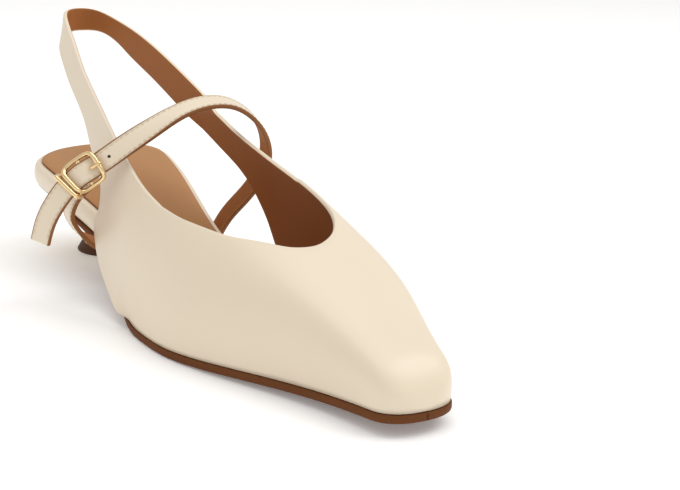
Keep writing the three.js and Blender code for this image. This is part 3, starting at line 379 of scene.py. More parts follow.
# %% Materials
def two_toned(name, kind, output, sockets, light, dark, glosses):
    """Material whose colour, between two tones, and roughness both follow one output of a shader group."""
    material = bpy.data.materials.new(name)
    material.use_nodes = True
    tree = material.node_tree
    shader = tree.nodes["Principled BSDF"]
    group = add_node(tree, "Group", sockets, node_tree=kind)
    tone = add_node(tree, "Mix", {6: (*dark, 1), 7: (*light, 1)}, data_type="RGBA")
    gloss = add_node(tree, "MapRange", glosses)
    wire_up(tree, (group, output, tone, 0), (group, output, gloss, "Value"),
            (tone, 2, shader, "Base Color"), (gloss, 0, shader, "Roughness"))
    return material, tree, shader, group


def leather(name, light, dark, rough, cells_scale, bump, coat=0.0, clouds=25.0, shine=0.5):
    """Leather: cloudy mix of two tones, roughness that follows the clouds, and a fine bump."""
    glosses = {"From Min": 0.3, "From Max": 0.7, "To Min": rough - 0.05, "To Max": rough + 0.06}
    scales = {"Cells": cells_scale, "Clouds": clouds}
    material, tree, shader, group = two_toned(name, grain, "Cloud", scales, light, dark, glosses)
    relief = add_node(tree, "Bump", {"Strength": bump, "Distance": 0.0002})
    wire_up(tree, (group, "Height", relief, "Height"),
            (relief, 0, shader, "Normal"))
    shader.inputs["Coat Weight"].default_value = coat
    shader.inputs["Coat Roughness"].default_value = 0.3
    shader.inputs["Specular IOR Level"].default_value = shine
    return material


def metal(name, light, dark, rough, spread):
    """Gold finish: two near tones and a roughness that follow fine upright streaks."""
    glosses = {"To Min": rough - spread, "To Max": rough + spread}
    material, tree, shader, group = two_toned(name, streaks, "Streak", {}, light, dark, glosses)
    shader.inputs["Metallic"].default_value = 1.0
    return material


cream = leather("cream_leather", (0.81, 0.70, 0.545), (0.765, 0.65, 0.495), 0.38, 1400, 0.05, coat=0.15)
lining = leather("brown_lining", (0.40, 0.150, 0.042), (0.32, 0.112, 0.028), 0.65, 1100, 0.15, shine=0.25)
strap_edge = leather("brown_painted_edge", (0.30, 0.125, 0.045), (0.23, 0.09, 0.032), 0.6, 1500, 0.1,
                     shine=0.2)
sock_leather = leather("tan_sock", (0.47, 0.235, 0.092), (0.42, 0.20, 0.074), 0.6, 1000, 0.15, shine=0.3)
sole_leather = leather("stained_sole", (0.165, 0.058, 0.018), (0.12, 0.04, 0.012), 0.6, 500, 0.2,
                       clouds=60.0, shine=0.1)
top_rubber = leather("brown_top_piece", (0.10, 0.042, 0.02), (0.075, 0.03, 0.015), 0.6, 700, 0.2, shine=0.2)
thread = leather("sewing_thread", (0.78, 0.66, 0.50), (0.70, 0.58, 0.42), 0.7, 3000, 0.2, shine=0.3)
# The pinholes' near-black colour is painted shade: the holes are not cut, so this colour stands in for
# their dark depth.
hole_shade_paint = leather("pinhole_painted_shade", (0.05, 0.022, 0.012), (0.035, 0.016, 0.009), 0.8, 2000, 0.2)
gold_bright = metal("pale_gold", (0.90, 0.70, 0.40), (0.80, 0.58, 0.30), 0.14, 0.05)
gold_satin = metal("satin_gold", (0.83, 0.64, 0.36), (0.76, 0.56, 0.29), 0.30, 0.06)
print(len(bpy.data.materials), "materials")

# %% [markdown]
# ## The upper's ribs
# Vamp, wings and sling are one wall of leather, so the upper is one ring of ribs that run from its lower
# to its upper edge.
# Over the foot a rib is straight in plan and lies on the last; the sling is carried on from the wings by
# a spline.
# A sculpted mesh could look alike, but ribs keep both edges exactly where the pattern maker drew them.

# %% Wing and vamp ribs
STEPS = 33
WING_COUNT = 48
VAMP_COUNT = 156
SLING_COUNT = 96
STEEPEST = math.radians(80)
HOLD_RUN = 0.035


def ribs_over(low, turn, top, draw):
    """Ribs on the last: points at even turns from the widest line up, drawn in at their foot."""
    s = share(top[:, 0])
    crown = last_ridge_side(s)
    reach = np.abs(last_edge(s, top[:, 1] > crown) - crown)
    cosine = unfuller(np.clip(np.abs(top[:, 1] - crown) / reach, 0, 1), last_full(s))
    top_turn = np.minimum(np.arccos(cosine), STEEPEST)
    turns = mix(turn[:, None], top_turn[:, None], np.linspace(0, 1, STEPS + 1))
    g = (np.cos(turn)[:, None] - np.cos(turns)) / (np.cos(turn) - np.cos(top_turn))[:, None]
    x = mix(low[:, :1], top[:, :1], g)
    y = mix(low[:, 1:2], top[:, 1:2], g)
    z = last_height(x, y)
    z[:, 0] = low[:, 2]
    pull = (1 - np.clip((z - last_base(share(x))) / TUCK, 0, 1)) ** 2
    return np.stack([x + draw[:, :1] * pull, y + draw[:, 1:2] * pull, z], -1)


def hold_of(s, foot):
    """0 where the wall hangs free, 1 from the foot of the vamp on."""
    return smooth((s - foot + HOLD_RUN) / HOLD_RUN)


def wing_ribs(rows, medial, foot, t):
    """Ribs of a wing, whose foot and head slide along the table's edges, and their hold on the sole."""
    low_s, low_h, top_s, top_h = (stepped(rows[:, c])(t) for c in range(4))
    x, y, turn = wing_point(low_s, low_h * SLING, medial)
    edge = sole_medial(low_s) - UPPER_INSET if medial else sole_lateral(low_s) + UPPER_INSET
    hold = hold_of(low_s, foot)
    draw = np.stack([0 * x, (edge - last_edge(low_s, medial)) * hold], -1)
    top_x, top_y, top_turn = wing_point(top_s, top_h * SLING, medial)
    return ribs_over(np.stack([x, y, low_h * SLING], -1), turn, np.stack([top_x, top_y], -1), draw), hold


def toe_route(foot, medial):
    """One side of the sole's edge and of the last's widest line, from the vamp's foot round to the toe."""
    half = 160
    i = np.arange(2 * half + 1)
    turn = np.clip((i - half) / half, 0, 1) * math.pi / 2
    start = 1 - TOE_ROUND / LENGTH
    rounded = start + TOE_ROUND / LENGTH * np.sin(turn) ** (2 / TOE_POWER)
    s = np.where(i <= half, mix(foot, start, i / half), rounded)
    factor = np.maximum(np.cos(turn), 0) ** (2 / TOE_POWER)
    lines = []
    for lateral, inner in ((sole_lateral, sole_medial), (last_lateral, last_medial)):
        middle = (lateral(s) + inner(s)) / 2
        side = inner(s) if medial else lateral(s)
        lines.append(np.stack([BACK + s * LENGTH, middle + (side - middle) * factor], -1))
    return lines


def vamp_ribs(reach):
    """Ribs at even steps round the toe: each starts on the sole's edge and ends on the throat's edge."""
    lateral = toe_route(LATERAL_FOOT, False)
    medial = toe_route(MEDIAL_FOOT, True)
    sole, body = (np.concatenate([a, b[-2::-1]]) for a, b in zip(lateral, medial))
    travelled = travel(sole)
    toe = travelled[len(lateral[0]) - 1]
    distance = np.where(reach < 0, (1 + reach) * toe, mix(toe, travelled[-1], reach))
    way = np.gradient(sole, axis=0)
    out = np.stack([way[:, 1], -way[:, 0]], -1)
    out = out / np.linalg.norm(out, axis=1, keepdims=True)
    columns = np.concatenate([sole, body, out], 1)
    found = np.stack([np.interp(distance, travelled, c) for c in columns.T], -1)
    sole, body, out = found[:, :2], found[:, 2:4], found[:, 4:]
    draw = sole - UPPER_INSET * out / np.linalg.norm(out, axis=1, keepdims=True) - body
    foot_height = sole_top(share(body[:, 0] + draw[:, 0])) + GAP
    low = np.concatenate([body, foot_height[:, None]], 1)
    top = np.stack([BACK + throat_along(reach), throat_side(reach)], -1)
    return ribs_over(low, 0 * reach, top, draw)


vamp = vamp_ribs(np.linspace(-1, 1, VAMP_COUNT + 1))
print("vamp ribs", vamp.shape)

# %% [markdown]
# ## The sling and the whole ring
# The sling leaves each wing as a strip of about 8 mm and stands on its lower edge behind the heel.
# Its rows give both edges; three ribs of each wing lead into it, so that the strip runs on without a kink.

# %% Sling ribs
# low along, low height, top along, top height
LATERAL_WING = np.array([
    [0.290, 0.560, 0.367, 0.632], [0.333, 0.507, 0.398, 0.602], [0.364, 0.453, 0.422, 0.580],
    [0.372, 0.390, 0.446, 0.559], [0.361, 0.305, 0.469, 0.540], [0.377, 0.227, 0.487, 0.526],
    [0.404, 0.163, 0.503, 0.514], [0.438, 0.107, 0.518, 0.503], [0.474, 0.060, 0.533, 0.493]])
MEDIAL_WING = np.array([
    [0.294, 0.612, 0.364, 0.706], [0.336, 0.570, 0.410, 0.675], [0.402, 0.500, 0.464, 0.638],
    [0.427, 0.446, 0.488, 0.620], [0.440, 0.394, 0.511, 0.602], [0.453, 0.325, 0.534, 0.584],
    [0.463, 0.250, 0.552, 0.571], [0.474, 0.170, 0.566, 0.561], [0.485, 0.100, 0.578, 0.553]])
# low along, side and height, then top along, side and height, from the medial wing round the back
SLING_ROWS = np.array([
    [0.261, 0.262, 0.646, 0.325, 0.252, 0.735], [0.216, 0.241, 0.692, 0.271, 0.253, 0.781],
    [0.139, 0.220, 0.766, 0.185, 0.231, 0.858], [0.061, 0.200, 0.833, 0.081, 0.211, 0.928],
    [0.007, 0.175, 0.887, 0.011, 0.181, 0.966], [-0.028, 0.111, 0.911, -0.030, 0.111, 0.995],
    [-0.040, 0.034, 0.911, -0.042, 0.034, 1.000], [-0.034, -0.055, 0.906, -0.036, -0.055, 0.996],
    [-0.012, -0.130, 0.872, -0.005, -0.113, 0.975], [0.030, -0.172, 0.806, 0.054, -0.146, 0.897],
    [0.085, -0.206, 0.743, 0.116, -0.183, 0.820], [0.158, -0.248, 0.679, 0.201, -0.232, 0.746],
    [0.224, -0.292, 0.620, 0.286, -0.284, 0.686]])


def whole_wing(rows, foot, row):
    """The wing's table, closed by the rib in which it meets the vamp."""
    throat = float(last_height(BACK + row[1] * LENGTH, row[2] * BALL))
    return np.vstack([rows, [foot, float(sole_top(foot) + GAP) / SLING, row[1], throat / SLING]])


def place(rows):
    """Points from shares of length, ball width and sling height."""
    return np.stack([BACK + rows[..., 0] * LENGTH, rows[..., 1] * BALL, rows[..., 2] * SLING], -1)


lateral_rows = whole_wing(LATERAL_WING, LATERAL_FOOT, VAMP[0])
medial_rows = whole_wing(MEDIAL_WING, MEDIAL_FOOT, VAMP[-1])
wing_t = np.arange(WING_COUNT) / WING_COUNT * (len(lateral_rows) - 1)
lateral_wing, lateral_hold = wing_ribs(lateral_rows, False, LATERAL_FOOT, wing_t)
medial_wing, medial_hold = wing_ribs(medial_rows, True, MEDIAL_FOOT, wing_t)
lead = np.array([0, 1, 2]) / 16 * (len(lateral_rows) - 1)
before = wing_ribs(medial_rows, True, MEDIAL_FOOT, lead[::-1])[0]
after = wing_ribs(lateral_rows, False, LATERAL_FOOT, lead)[0]
part = np.linspace(0, 1, STEPS + 1)[None, :, None]
strip = mix(place(SLING_ROWS[:, None, :3]), place(SLING_ROWS[:, None, 3:]), part)
keys = np.concatenate([before, strip, after])
middle_k = STEPS * 5 // 11
key_t = travel(keys[:, middle_k])
sling_t = np.linspace(key_t[2], key_t[-3], SLING_COUNT + 1)[1:-1]
sling = natural(key_t, keys)(sling_t)
ribs = np.concatenate([lateral_wing, vamp, medial_wing[::-1], sling])
holds = np.concatenate([lateral_hold, np.ones(len(vamp)), medial_hold[::-1], np.zeros(len(sling))])
print("ring of", len(ribs), "ribs, back of the sling at", np.round(sling[len(sling) // 2, 0], 1).tolist())

# %% [markdown]
# ## The upper as a closed wall
# Leather and lining together are 1.8 mm thick, and the leather is folded over at every free edge.
# Each rib becomes a closed loop: outer face, half-round fold, lining, and a second fold at the foot.
# Where the vamp stands on the sole the foot stays flat instead, because there it is lasted under.
# The brown lining begins on the inner part of the fold, so it shows as a thin dark line along the edge.

# %% Build the upper
FOLD = 0.45
FOLD_STEPS = 7
CREAM_STEPS = 5


def unit(v):
    """Vectors of length one."""
    return v / np.maximum(np.linalg.norm(v, axis=-1, keepdims=True), 1e-9)


def ring_normals(grid):
    """Outward directions: the way round the ring crossed with the way up the rib."""
    around = np.roll(grid, -1, 0) - np.roll(grid, 1, 0)
    up = np.concatenate([grid[:, 1:2] - grid[:, :1], grid[:, 2:] - grid[:, :-2],
                         grid[:, -1:] - grid[:, -2:-1]], 1)
    return unit(np.cross(around, up))


def wall_loops(grid, hold):
    """Closed loops: face, half-ellipse fold, lining and lower fold, which fades out with the hold."""
    inner = grid - WALL * ring_normals(grid)
    inner[:, 0, 2] = np.where(hold > 0.99, sole_top(share(inner[:, 0, 0])) + GAP, inner[:, 0, 2])
    arc = np.linspace(0, math.pi, FOLD_STEPS + 1)[1:-1]
    up = unit(grid[:, -1] - grid[:, -2])[:, None]
    down = unit(grid[:, 0] - grid[:, 1])[:, None]
    along = (1 - np.cos(arc))[None, :, None] / 2
    beyond = np.sin(arc)[:, None]
    size = (FOLD * (1 - hold))[:, None, None]
    over = mix(grid[:, -1:], inner[:, -1:], along) + FOLD * beyond * up
    under = mix(inner[:, :1], grid[:, :1], along) + size * beyond * down
    return np.concatenate([grid, over, inner[:, ::-1], under], 1)


loops = wall_loops(ribs, holds)
count, columns = loops.shape[:2]
upper_faces = outward(loops.reshape(-1, 3), grid_faces(count, columns, True, True))
column = np.tile(np.arange(columns), count)
inside = (column >= STEPS + CREAM_STEPS) & (column < 2 * STEPS + FOLD_STEPS)
finish_piece(make_mesh("upper_leather", loops.reshape(-1, 3), upper_faces, inside.astype(int),
                       [cream, lining]), ["upper"])

# %% [markdown]
# ## The sole plates
# Outsole, footbed and sock are flat plates with the sole's outline, each with its own edge.
# A plate is made as cross-sections from heel to toe: up one edge, over the top, down the other edge and
# back below.
# That gives an even mesh on the sock and the edges, where a flat polygon would shade badly.

# %% Outlines and plates
SEAT_POWER = 2.1


def plan_outline(start, seat, count=150, turns=26):
    """Paired edge points and their normals, lateral and medial, with both ends rounded as superellipses."""
    back_turn = (np.arange(turns if seat else 0) + 0.05) / turns * math.pi / 2
    toe_turn = np.append(np.arange(1, turns), turns - 0.35) / turns * math.pi / 2
    first = SEAT_ROUND / LENGTH if seat else start
    last = 1 - TOE_ROUND / LENGTH
    s = np.concatenate([(1 - np.cos(back_turn) ** (2 / SEAT_POWER)) * SEAT_ROUND / LENGTH,
                        np.linspace(first, last, count + 1),
                        1 - TOE_ROUND / LENGTH * (1 - np.sin(toe_turn) ** (2 / TOE_POWER))])
    factor = np.concatenate([np.sin(back_turn) ** (2 / SEAT_POWER), np.ones(count + 1),
                             np.cos(toe_turn) ** (2 / TOE_POWER)])
    middle = (sole_lateral(s) + sole_medial(s)) / 2
    x = BACK + s * LENGTH
    lateral = np.stack([x, middle + (sole_lateral(s) - middle) * factor], -1)
    medial = np.stack([x, middle + (sole_medial(s) - middle) * factor], -1)
    ring = np.concatenate([lateral, medial[::-1]])
    way = np.roll(ring, -1, 0) - np.roll(ring, 1, 0)
    out = unit(np.stack([way[:, 1], -way[:, 0]], -1))
    return lateral, medial, out[:len(x)], out[len(x):][::-1]


def plate_loops(plan, levels, across=14):
    """Cross-section loops of a plate from edge levels, each an inset pair and a height function of x."""
    lateral, medial, lateral_out, medial_out = plan
    sides = []
    for edge, out, which in ((lateral, lateral_out, 0), (medial, medial_out, 1)):
        rows = []
        for inset, height in levels:
            p = edge - out * np.reshape(inset[which], (-1, 1))
            rows.append(np.concatenate([p, height(p[:, 0])[:, None]], 1))
        sides.append(np.stack(rows, 1))
    part = np.linspace(0, 1, across + 1)[1:-1][None, :, None]
    top = mix(sides[0][:, -1:], sides[1][:, -1:], part)
    top[..., 2] = levels[-1][1](top[..., 0])
    under = mix(sides[1][:, :1], sides[0][:, :1], part)
    under[..., 2] = levels[0][1](under[..., 0])
    return np.concatenate([sides[0], top, sides[1][:, ::-1], under], 1)


def tube(name, loops, slot_of, materials, nodes, closed=False):
    """Piece made of loops one after another, capped at both ends unless the loops close on themselves."""
    n, m = loops.shape[:2]
    quads = grid_faces(n, m, closed, True)
    points = loops.reshape(-1, 3)
    slots = np.tile(np.broadcast_to(slot_of, m), n if closed else n - 1)
    faces = quads.tolist()
    if not closed:
        faces += [list(range(m)), list(range(n * m - 1, (n - 1) * m - 1, -1))]
        slots = np.append(slots, [slots[0], slots[-1]])
    if outward(points - points.mean(0), quads)[0, 0] != quads[0, 0]:
        faces = [face[::-1] for face in faces]
    return finish_piece(make_mesh(name, points, faces, slots, materials), nodes)


outsole_plan = plan_outline(BREAST + GAP / LENGTH, False)
footbed_plan = plan_outline(0, True)
print("outline points", len(outsole_plan[0]), len(footbed_plan[0]))

# %% [markdown]
# ## Outsole
# A leather outsole 3 mm thick lies flat under the ball, springs up at the toe and thins out under the
# waist.
# Its cut edge is stained dark brown, and the sharp corners are burnished to a small round.

# %% Build the outsole
def thickness(x):
    """Full thickness under the ball, thinning smoothly to the heel's breast."""
    end = BREAST + GAP / LENGTH
    return mix(OUTSOLE_END, OUTSOLE, smooth((share(x) - end) / (LATERAL_FOOT - end) * 2))


def outsole_under(x):
    """Underside: the top less the thickness, cut flat by the floor."""
    return np.maximum(0, sole_top(share(x)) - thickness(x))


def outsole_over(x):
    """Top side, never under the full thickness."""
    return np.maximum(sole_top(share(x)), OUTSOLE)


def edge_level(share_up, inset):
    """A level of the edge at a share of its height."""
    return (inset, inset), lambda x: mix(outsole_under(x), outsole_over(x), share_up)


outsole_levels = [edge_level(0, 0.9), edge_level(0.05, 0.5), edge_level(0.16, 0.15), edge_level(0.32, 0),
                  edge_level(0.7, 0), edge_level(0.9, 0.05), edge_level(1, 0.25)]
tube("outsole_leather", plate_loops(outsole_plan, outsole_levels), 0, [sole_leather],
     ["outsole"])

# %% [markdown]
# ## Footbed
# The seat and the waist are a thick board wrapped in the upper's leather, so its edge is a soft roll.
# Inside the vamp the board is thin and steps in by the thickness of the wall.

# %% Build the footbed
SEAT_END = 0.40
SEAT_FADE = 0.12
INSOLE_LEAD = 0.045
ROLL = 1.7


def footbed_under(x):
    """Underside: a gap over the outsole or the sole's line."""
    return np.maximum(sole_top(share(x)), OUTSOLE) + GAP


def footbed_share(x):
    """1 where the board is thick, 0 where it is the thin insole."""
    return 1 - smooth((share(x) - SEAT_END) / SEAT_FADE)


def footbed_top(x):
    """Top side: the underside plus the thickness that the share gives."""
    return footbed_under(x) + mix(INSOLE, FOOTBED, footbed_share(x))


def footbed_inset(extra):
    """Insets of both sides: none under the seat and waist, a wall's thickness inside the vamp."""
    inner = UPPER_INSET + WALL + 2 * GAP
    return tuple(inner * smooth((share(edge[:, 0]) - foot + INSOLE_LEAD) / HOLD_RUN) + extra
                 for edge, foot in zip(footbed_plan[:2], (LATERAL_FOOT, MEDIAL_FOOT)))


def rolled(turn):
    """A level of the rolled edge: a half ellipse from the underside to the top."""
    up = (1 - math.cos(turn)) / 2
    return footbed_inset(ROLL * (1 - math.sin(turn))), lambda x: mix(footbed_under(x), footbed_top(x), up)


footbed_levels = [rolled(turn) for turn in np.linspace(0.12, 1, 14) * math.pi]
tube("footbed_wrapped", plate_loops(footbed_plan, footbed_levels), 0, [cream],
     ["footbed"])

# %% [markdown]
# ## Sock
# A thin leather sock is glued over the footbed, a little inside its edge, with a cut edge that shows dark.
# It runs on under the vamp to the toe. The seat is bare.

# %% Build the sock
COVERED_INSET = 0.6
SOCK_SUNK = 0.1


def sock_inset(extra):
    """Insets of both sides from the footbed's edge, larger on the open seat than inside the vamp."""
    return tuple(inset + mix(COVERED_INSET, SOCK_INSET, footbed_share(edge[:, 0])) + extra
                 for inset, edge in zip(footbed_inset(0), footbed_plan[:2]))


def sock_height(up):
    """Height function of a level of the sock, which sinks a little into the footbed's padding."""
    return lambda x: footbed_top(x) - SOCK_SUNK + up


sock_levels = [(sock_inset(0), sock_height(0)), (sock_inset(0), sock_height(0.75 * SOCK)),
               (sock_inset(0.12), sock_height(0.95 * SOCK)), (sock_inset(0.5), sock_height(GAP + SOCK))]
sock_loops = plate_loops(footbed_plan, sock_levels)
sock_slots = np.zeros(sock_loops.shape[1], int)
lateral_cut = [0, 1]
medial_cut = [18, 19, 20]
sock_slots[lateral_cut + medial_cut] = 1
tube("sock_leather", sock_loops, sock_slots, [sock_leather, strap_edge], ["sock_lining"])

# %% [markdown]
# ## Narrow straps
# A strap is a band carried along its middle line; three numbers in each row give the way to its back edge.
# The section is a flat bar with rounded corners: leather outside, lining inside and a painted cut edge.

# %% Strap helpers
# along, side, height, way to the back edge
INSTEP_ROWS = np.array([
    [0.347, 0.262, 0.262, -1, 0, 0.3], [0.356, 0.300, 0.345, -1, 0, 0.3],
    [0.380, 0.364, 0.463, -0.95, 0, 0.3], [0.404, 0.410, 0.585, -0.95, 0, 0.3],
    [0.425, 0.405, 0.695, -0.95, 0, 0.25],
    [0.441, 0.350, 0.822, -0.95, 0.1, 0.25], [0.451, 0.240, 0.925, -0.95, 0.1, 0.28],
    [0.457, 0.125, 0.975, -0.94, 0, 0.32], [0.457, 0.008, 0.980, -0.94, 0, 0.35],
    [0.453, -0.120, 0.945, -0.9, 0, 0.42], [0.445, -0.248, 0.875, -0.72, -0.12, 0.62],
    [0.435, -0.376, 0.795, -0.5, -0.24, 0.8], [0.426, -0.484, 0.722, -0.36, -0.3, 0.88],
    [0.414, -0.588, 0.650, -0.42, -0.34, 0.82], [0.402, -0.668, 0.550, -0.6, -0.42, 0.64],
    [0.396, -0.720, 0.450, -0.72, -0.5, 0.4], [0.392, -0.744, 0.352, -0.78, -0.5, 0.24]])
# along, side, height, way to the back edge, width
BUCKLE_ROWS = np.array([
    [0.402, -0.520, 0.626, -0.8, -0.25, 0.5, 7.8], [0.380, -0.546, 0.561, -0.9, -0.15, 0.3, 7.8],
    [0.360, -0.555, 0.488, -0.95, -0.1, 0.2, 8], [0.346, -0.540, 0.421, -1, 0, 0.1, 8],
    [0.341, -0.504, 0.360, -1, 0, 0.1, 8.5], [0.343, -0.452, 0.305, -1, 0, 0.2, 9.5],
    [0.348, -0.402, 0.272, -1, 0, 0.3, 11.5], [0.353, -0.372, 0.235, -1, -0.1, 0.4, 15]])


class Band:
    """A band along a spline; a point is given by the way along, the way across and the height."""

    def __init__(self, rows, widths):
        centres = np.stack([BACK + rows[:, 0] * LENGTH, rows[:, 1] * BALL, rows[:, 2] * INSTEP], -1)
        ts = travel(centres)
        self.length = ts[-1]
        self.middle = natural(ts, centres)
        self.edge = natural(ts, rows[:, 3:6])
        self.breadth = natural(ts, widths)

    def at(self, t, across, height):
        """Middle point, plus the way across made square to the path, plus their cross product as height."""
        t, across, height = np.broadcast_arrays(np.asarray(t, float), across, height)
        tangent = unit(self.middle(t + 0.5) - self.middle(t - 0.5))
        way = self.edge(t)
        way = unit(way - (way * tangent).sum(-1, keepdims=True) * tangent)
        return self.middle(t) + way * across[..., None] + np.cross(way, tangent) * height[..., None]


CORNER = 0.5
CROWN = 0.12
END_ROUND = 0.6


def strap_loops(strap, ts, lift):
    """Flat bar section at each station: two faces and two rounded edges; it draws in at both ends."""
    turn = np.linspace(0, math.pi / 2, 5)
    flat = np.linspace(-1, 1, 9)
    one = np.ones(5)
    half = STRAP_THICK / 2
    across = np.concatenate([flat, one, one, flat[::-1], -one, -one])
    round_out = CORNER * np.sin(turn)
    round_up = CORNER * np.cos(turn)
    beyond = np.concatenate([0 * flat, round_out, round_up, 0 * flat, -round_out, -round_up])
    high = half - CORNER
    height = np.concatenate([half + CROWN * (1 - flat ** 2) - CROWN, high + round_up, -high - round_out,
                             -half + 0 * flat, -high - round_up, high + round_out])
    near = np.minimum(ts, strap.length - ts)
    pinch = END_ROUND - np.sqrt(np.maximum(END_ROUND ** 2 - np.maximum(END_ROUND - near, 0) ** 2, 0))
    width = strap.breadth(ts) / 2 - CORNER - pinch
    squeeze = 1 - pinch / half
    return strap.at(ts[:, None], across * width[:, None] + beyond,
                    lift(ts)[:, None] + height * squeeze[:, None])


# round the section: leather, painted edge, lining, painted edge
STRAP_SLOTS = np.repeat([0, 2, 1, 2], [9, 10, 9, 10])
STRAP_FINISHES = [cream, lining, strap_edge]
instep = Band(INSTEP_ROWS, np.full(len(INSTEP_ROWS), STRAP_WIDE))
print("instep strap", round(float(instep.length), 1), "mm long")

# %% [markdown]
# ## Instep strap
# It leaves the sole at the inner waist, crosses high over the instep, passes the buckle and hangs as a
# free tail.
# At the buckle it dips under both end bars and rises over the middle bar, as a fastened strap does.

# %% Build the instep strap
BUCKLE_LONG = 13.8
BUCKLE_WIDE = 13.0
BUCKLE_WIRE = 1.8
PLAY = 0.6
LIFT = 1.0
BAR_WIRE = 1.6
BUCKLE_AT = 0.812
buckle_t = BUCKLE_AT * instep.length
buckle_reach = (BUCKLE_LONG - BUCKLE_WIRE) / 2
buckle_side = (BUCKLE_WIDE - BUCKLE_WIRE) / 2


def strap_lift(t):
    """Cosine wave: up at the middle bar, down at the end bars, fading out behind them."""
    far = np.abs(np.asarray(t, float) - buckle_t) / buckle_reach
    fade = np.where(far < 1, 1, (1 + np.cos((far - 1) * math.pi)) / 2)
    return np.where(far < 2, LIFT * np.cos(far * math.pi) * fade, 0)


def end_stations(length, count):
    """Even stations with a few close ones at both ends, where the strap rounds off."""
    close = np.array([0.02, 0.1, 0.25, 0.45])
    return np.concatenate([close, np.linspace(END_ROUND, length - END_ROUND, count), length - close[::-1]])


instep_loops = strap_loops(instep, end_stations(instep.length, 330), strap_lift)
tube("instep_strap_leather", instep_loops, STRAP_SLOTS, STRAP_FINISHES,
     ["instep_strap"])

# %% [markdown]
# ## Buckle strap
# A short strap carries the buckle. It broadens to a foot that goes into the sole at the outer waist.

# %% Build the buckle strap
def no_lift(t):
    """This strap has no waves."""
    return 0 * t


holder = Band(BUCKLE_ROWS, BUCKLE_ROWS[:, 6])
tube("buckle_strap_leather", strap_loops(holder, end_stations(holder.length, 110), no_lift),
     STRAP_SLOTS, STRAP_FINISHES, ["buckle_strap"])

# %% [markdown]
# ## Stitches and pinholes
# Each stitch is a small capsule half sunk in the leather, six faces round, because many are seen from afar.
# All stitches of a seam are one mesh: one capsule is copied to every station by adding arrays.
# The pinholes punched through the instep strap are not cut out: each is a near-black round spot, painted
# shade standing in for the hole's dark depth.

# %% Seams
PITCH = 2.3
STITCH = 1.6
THREAD_ROUND = 0.24
SEAM_INSET = 1.15
SEAM_SUNK = 0.05


def along_path(path, normals, pitch):
    """Points, directions and outward normals at even stations on a path, linear between its points."""
    way = travel(path)
    at = np.arange(pitch, way[-1] - pitch / 2, pitch)
    columns = np.concatenate([path, np.gradient(path, way, axis=0), normals], 1)
    found = np.stack([np.interp(at, way, c) for c in columns.T], -1)
    return found[:, :3], unit(found[:, 3:6]), unit(found[:, 6:])


def capped_copies(name, rings, material, smooth_faces=True):
    """One mesh of many small capped tubes, turned outward by the volume of the first."""
    number, levels, around = rings.shape[:3]
    quads = grid_faces(levels, around, across=True)
    caps = np.array([np.arange(around), np.arange(levels * around)[:-around - 1:-1]])
    if outward(rings[0].reshape(-1, 3) - rings[0].mean((0, 1)), quads)[0, 0] != quads[0, 0]:
        quads, caps = quads[:, ::-1], caps[:, ::-1]
    base = np.arange(number)[:, None, None] * levels * around
    faces = (quads + base).reshape(-1, 4).tolist() + (caps + base).reshape(-1, around).tolist()
    return make_mesh(name, rings.reshape(-1, 3), faces, np.zeros(len(faces), int), [material], smooth_faces)


def stitch_row(name, seams):
    """One mesh of capsules: rings of six points round each stitch's own direction."""
    points, ways, normals = (np.concatenate(parts) for parts in zip(*seams))
    across = np.cross(normals, ways)
    turn = np.arange(6) * math.pi / 3
    ring = np.cos(turn)[:, None] * across[:, None] + np.sin(turn)[:, None] * normals[:, None]
    run = np.array([-0.5, -0.32, 0.32, 0.5]) * STITCH
    size = np.array([0.35, 1, 1, 0.35]) * THREAD_ROUND
    middle = points[:, None] + run[None, :, None] * ways[:, None]
    rings = middle[:, :, None] + size[None, :, None, None] * ring[:, None]
    return finish_piece(capped_copies(name, rings, thread), [])


def strap_seam(strap, side, first, last, lift):
    """A seam along a strap, near one of its edges, on the leather side."""
    t = np.linspace(first, last, 400)
    off = side * (strap.breadth(t) / 2 - SEAM_INSET)
    skin = STRAP_THICK / 2 - SEAM_SUNK
    path = strap.at(t, off, lift(t) + skin)
    return along_path(path, strap.at(t, off, lift(t) + skin + 1) - path, PITCH)


stitch_row("instep_strap_stitches",
           [strap_seam(instep, side, 3, instep.length - 2, strap_lift) for side in (-1, 1)])
stitch_row("buckle_strap_stitches",
           [strap_seam(holder, side, 3, holder.length - 3, no_lift) for side in (-1, 1)])

# %% Pinholes
HOLE_PITCH = 7.8
HOLE_ROUND = 0.6
HOLE_BEFORE = 3.0
HOLE_RISE = 0.06
HOLE_DEEP = 0.3
hole_at = buckle_t - HOLE_BEFORE - HOLE_PITCH * np.array([0, 1])


def spots(name, strap, ts, lift):
    """Flat round spots of painted shade, standing in for the holes, just over the strap's face: two rings
    of twelve points each, capped.
    """
    turn = np.arange(12) * math.pi / 6
    t = ts[:, None] + HOLE_ROUND * np.cos(turn)
    off = np.broadcast_to(HOLE_ROUND * np.sin(turn), t.shape)
    face = STRAP_THICK / 2 + HOLE_RISE
    rings = np.stack([strap.at(t, off, lift(t) + face - HOLE_DEEP), strap.at(t, off, lift(t) + face)], 1)
    return capped_copies(name, rings, hole_shade_paint, False)


# Dark discs of painted shade where the pinholes are.
finish_piece(spots("strap_pinholes_painted_shade", instep, hole_at, strap_lift), [])

# %% [markdown]
# ## Buckle
# The buckle is cast metal: a rounded rectangle of round wire with a middle bar, a keeper loop and a prong.
# Sweeping a circle along a path gives such wire; a bevelled curve would do too, but a mesh exports as it
# is.

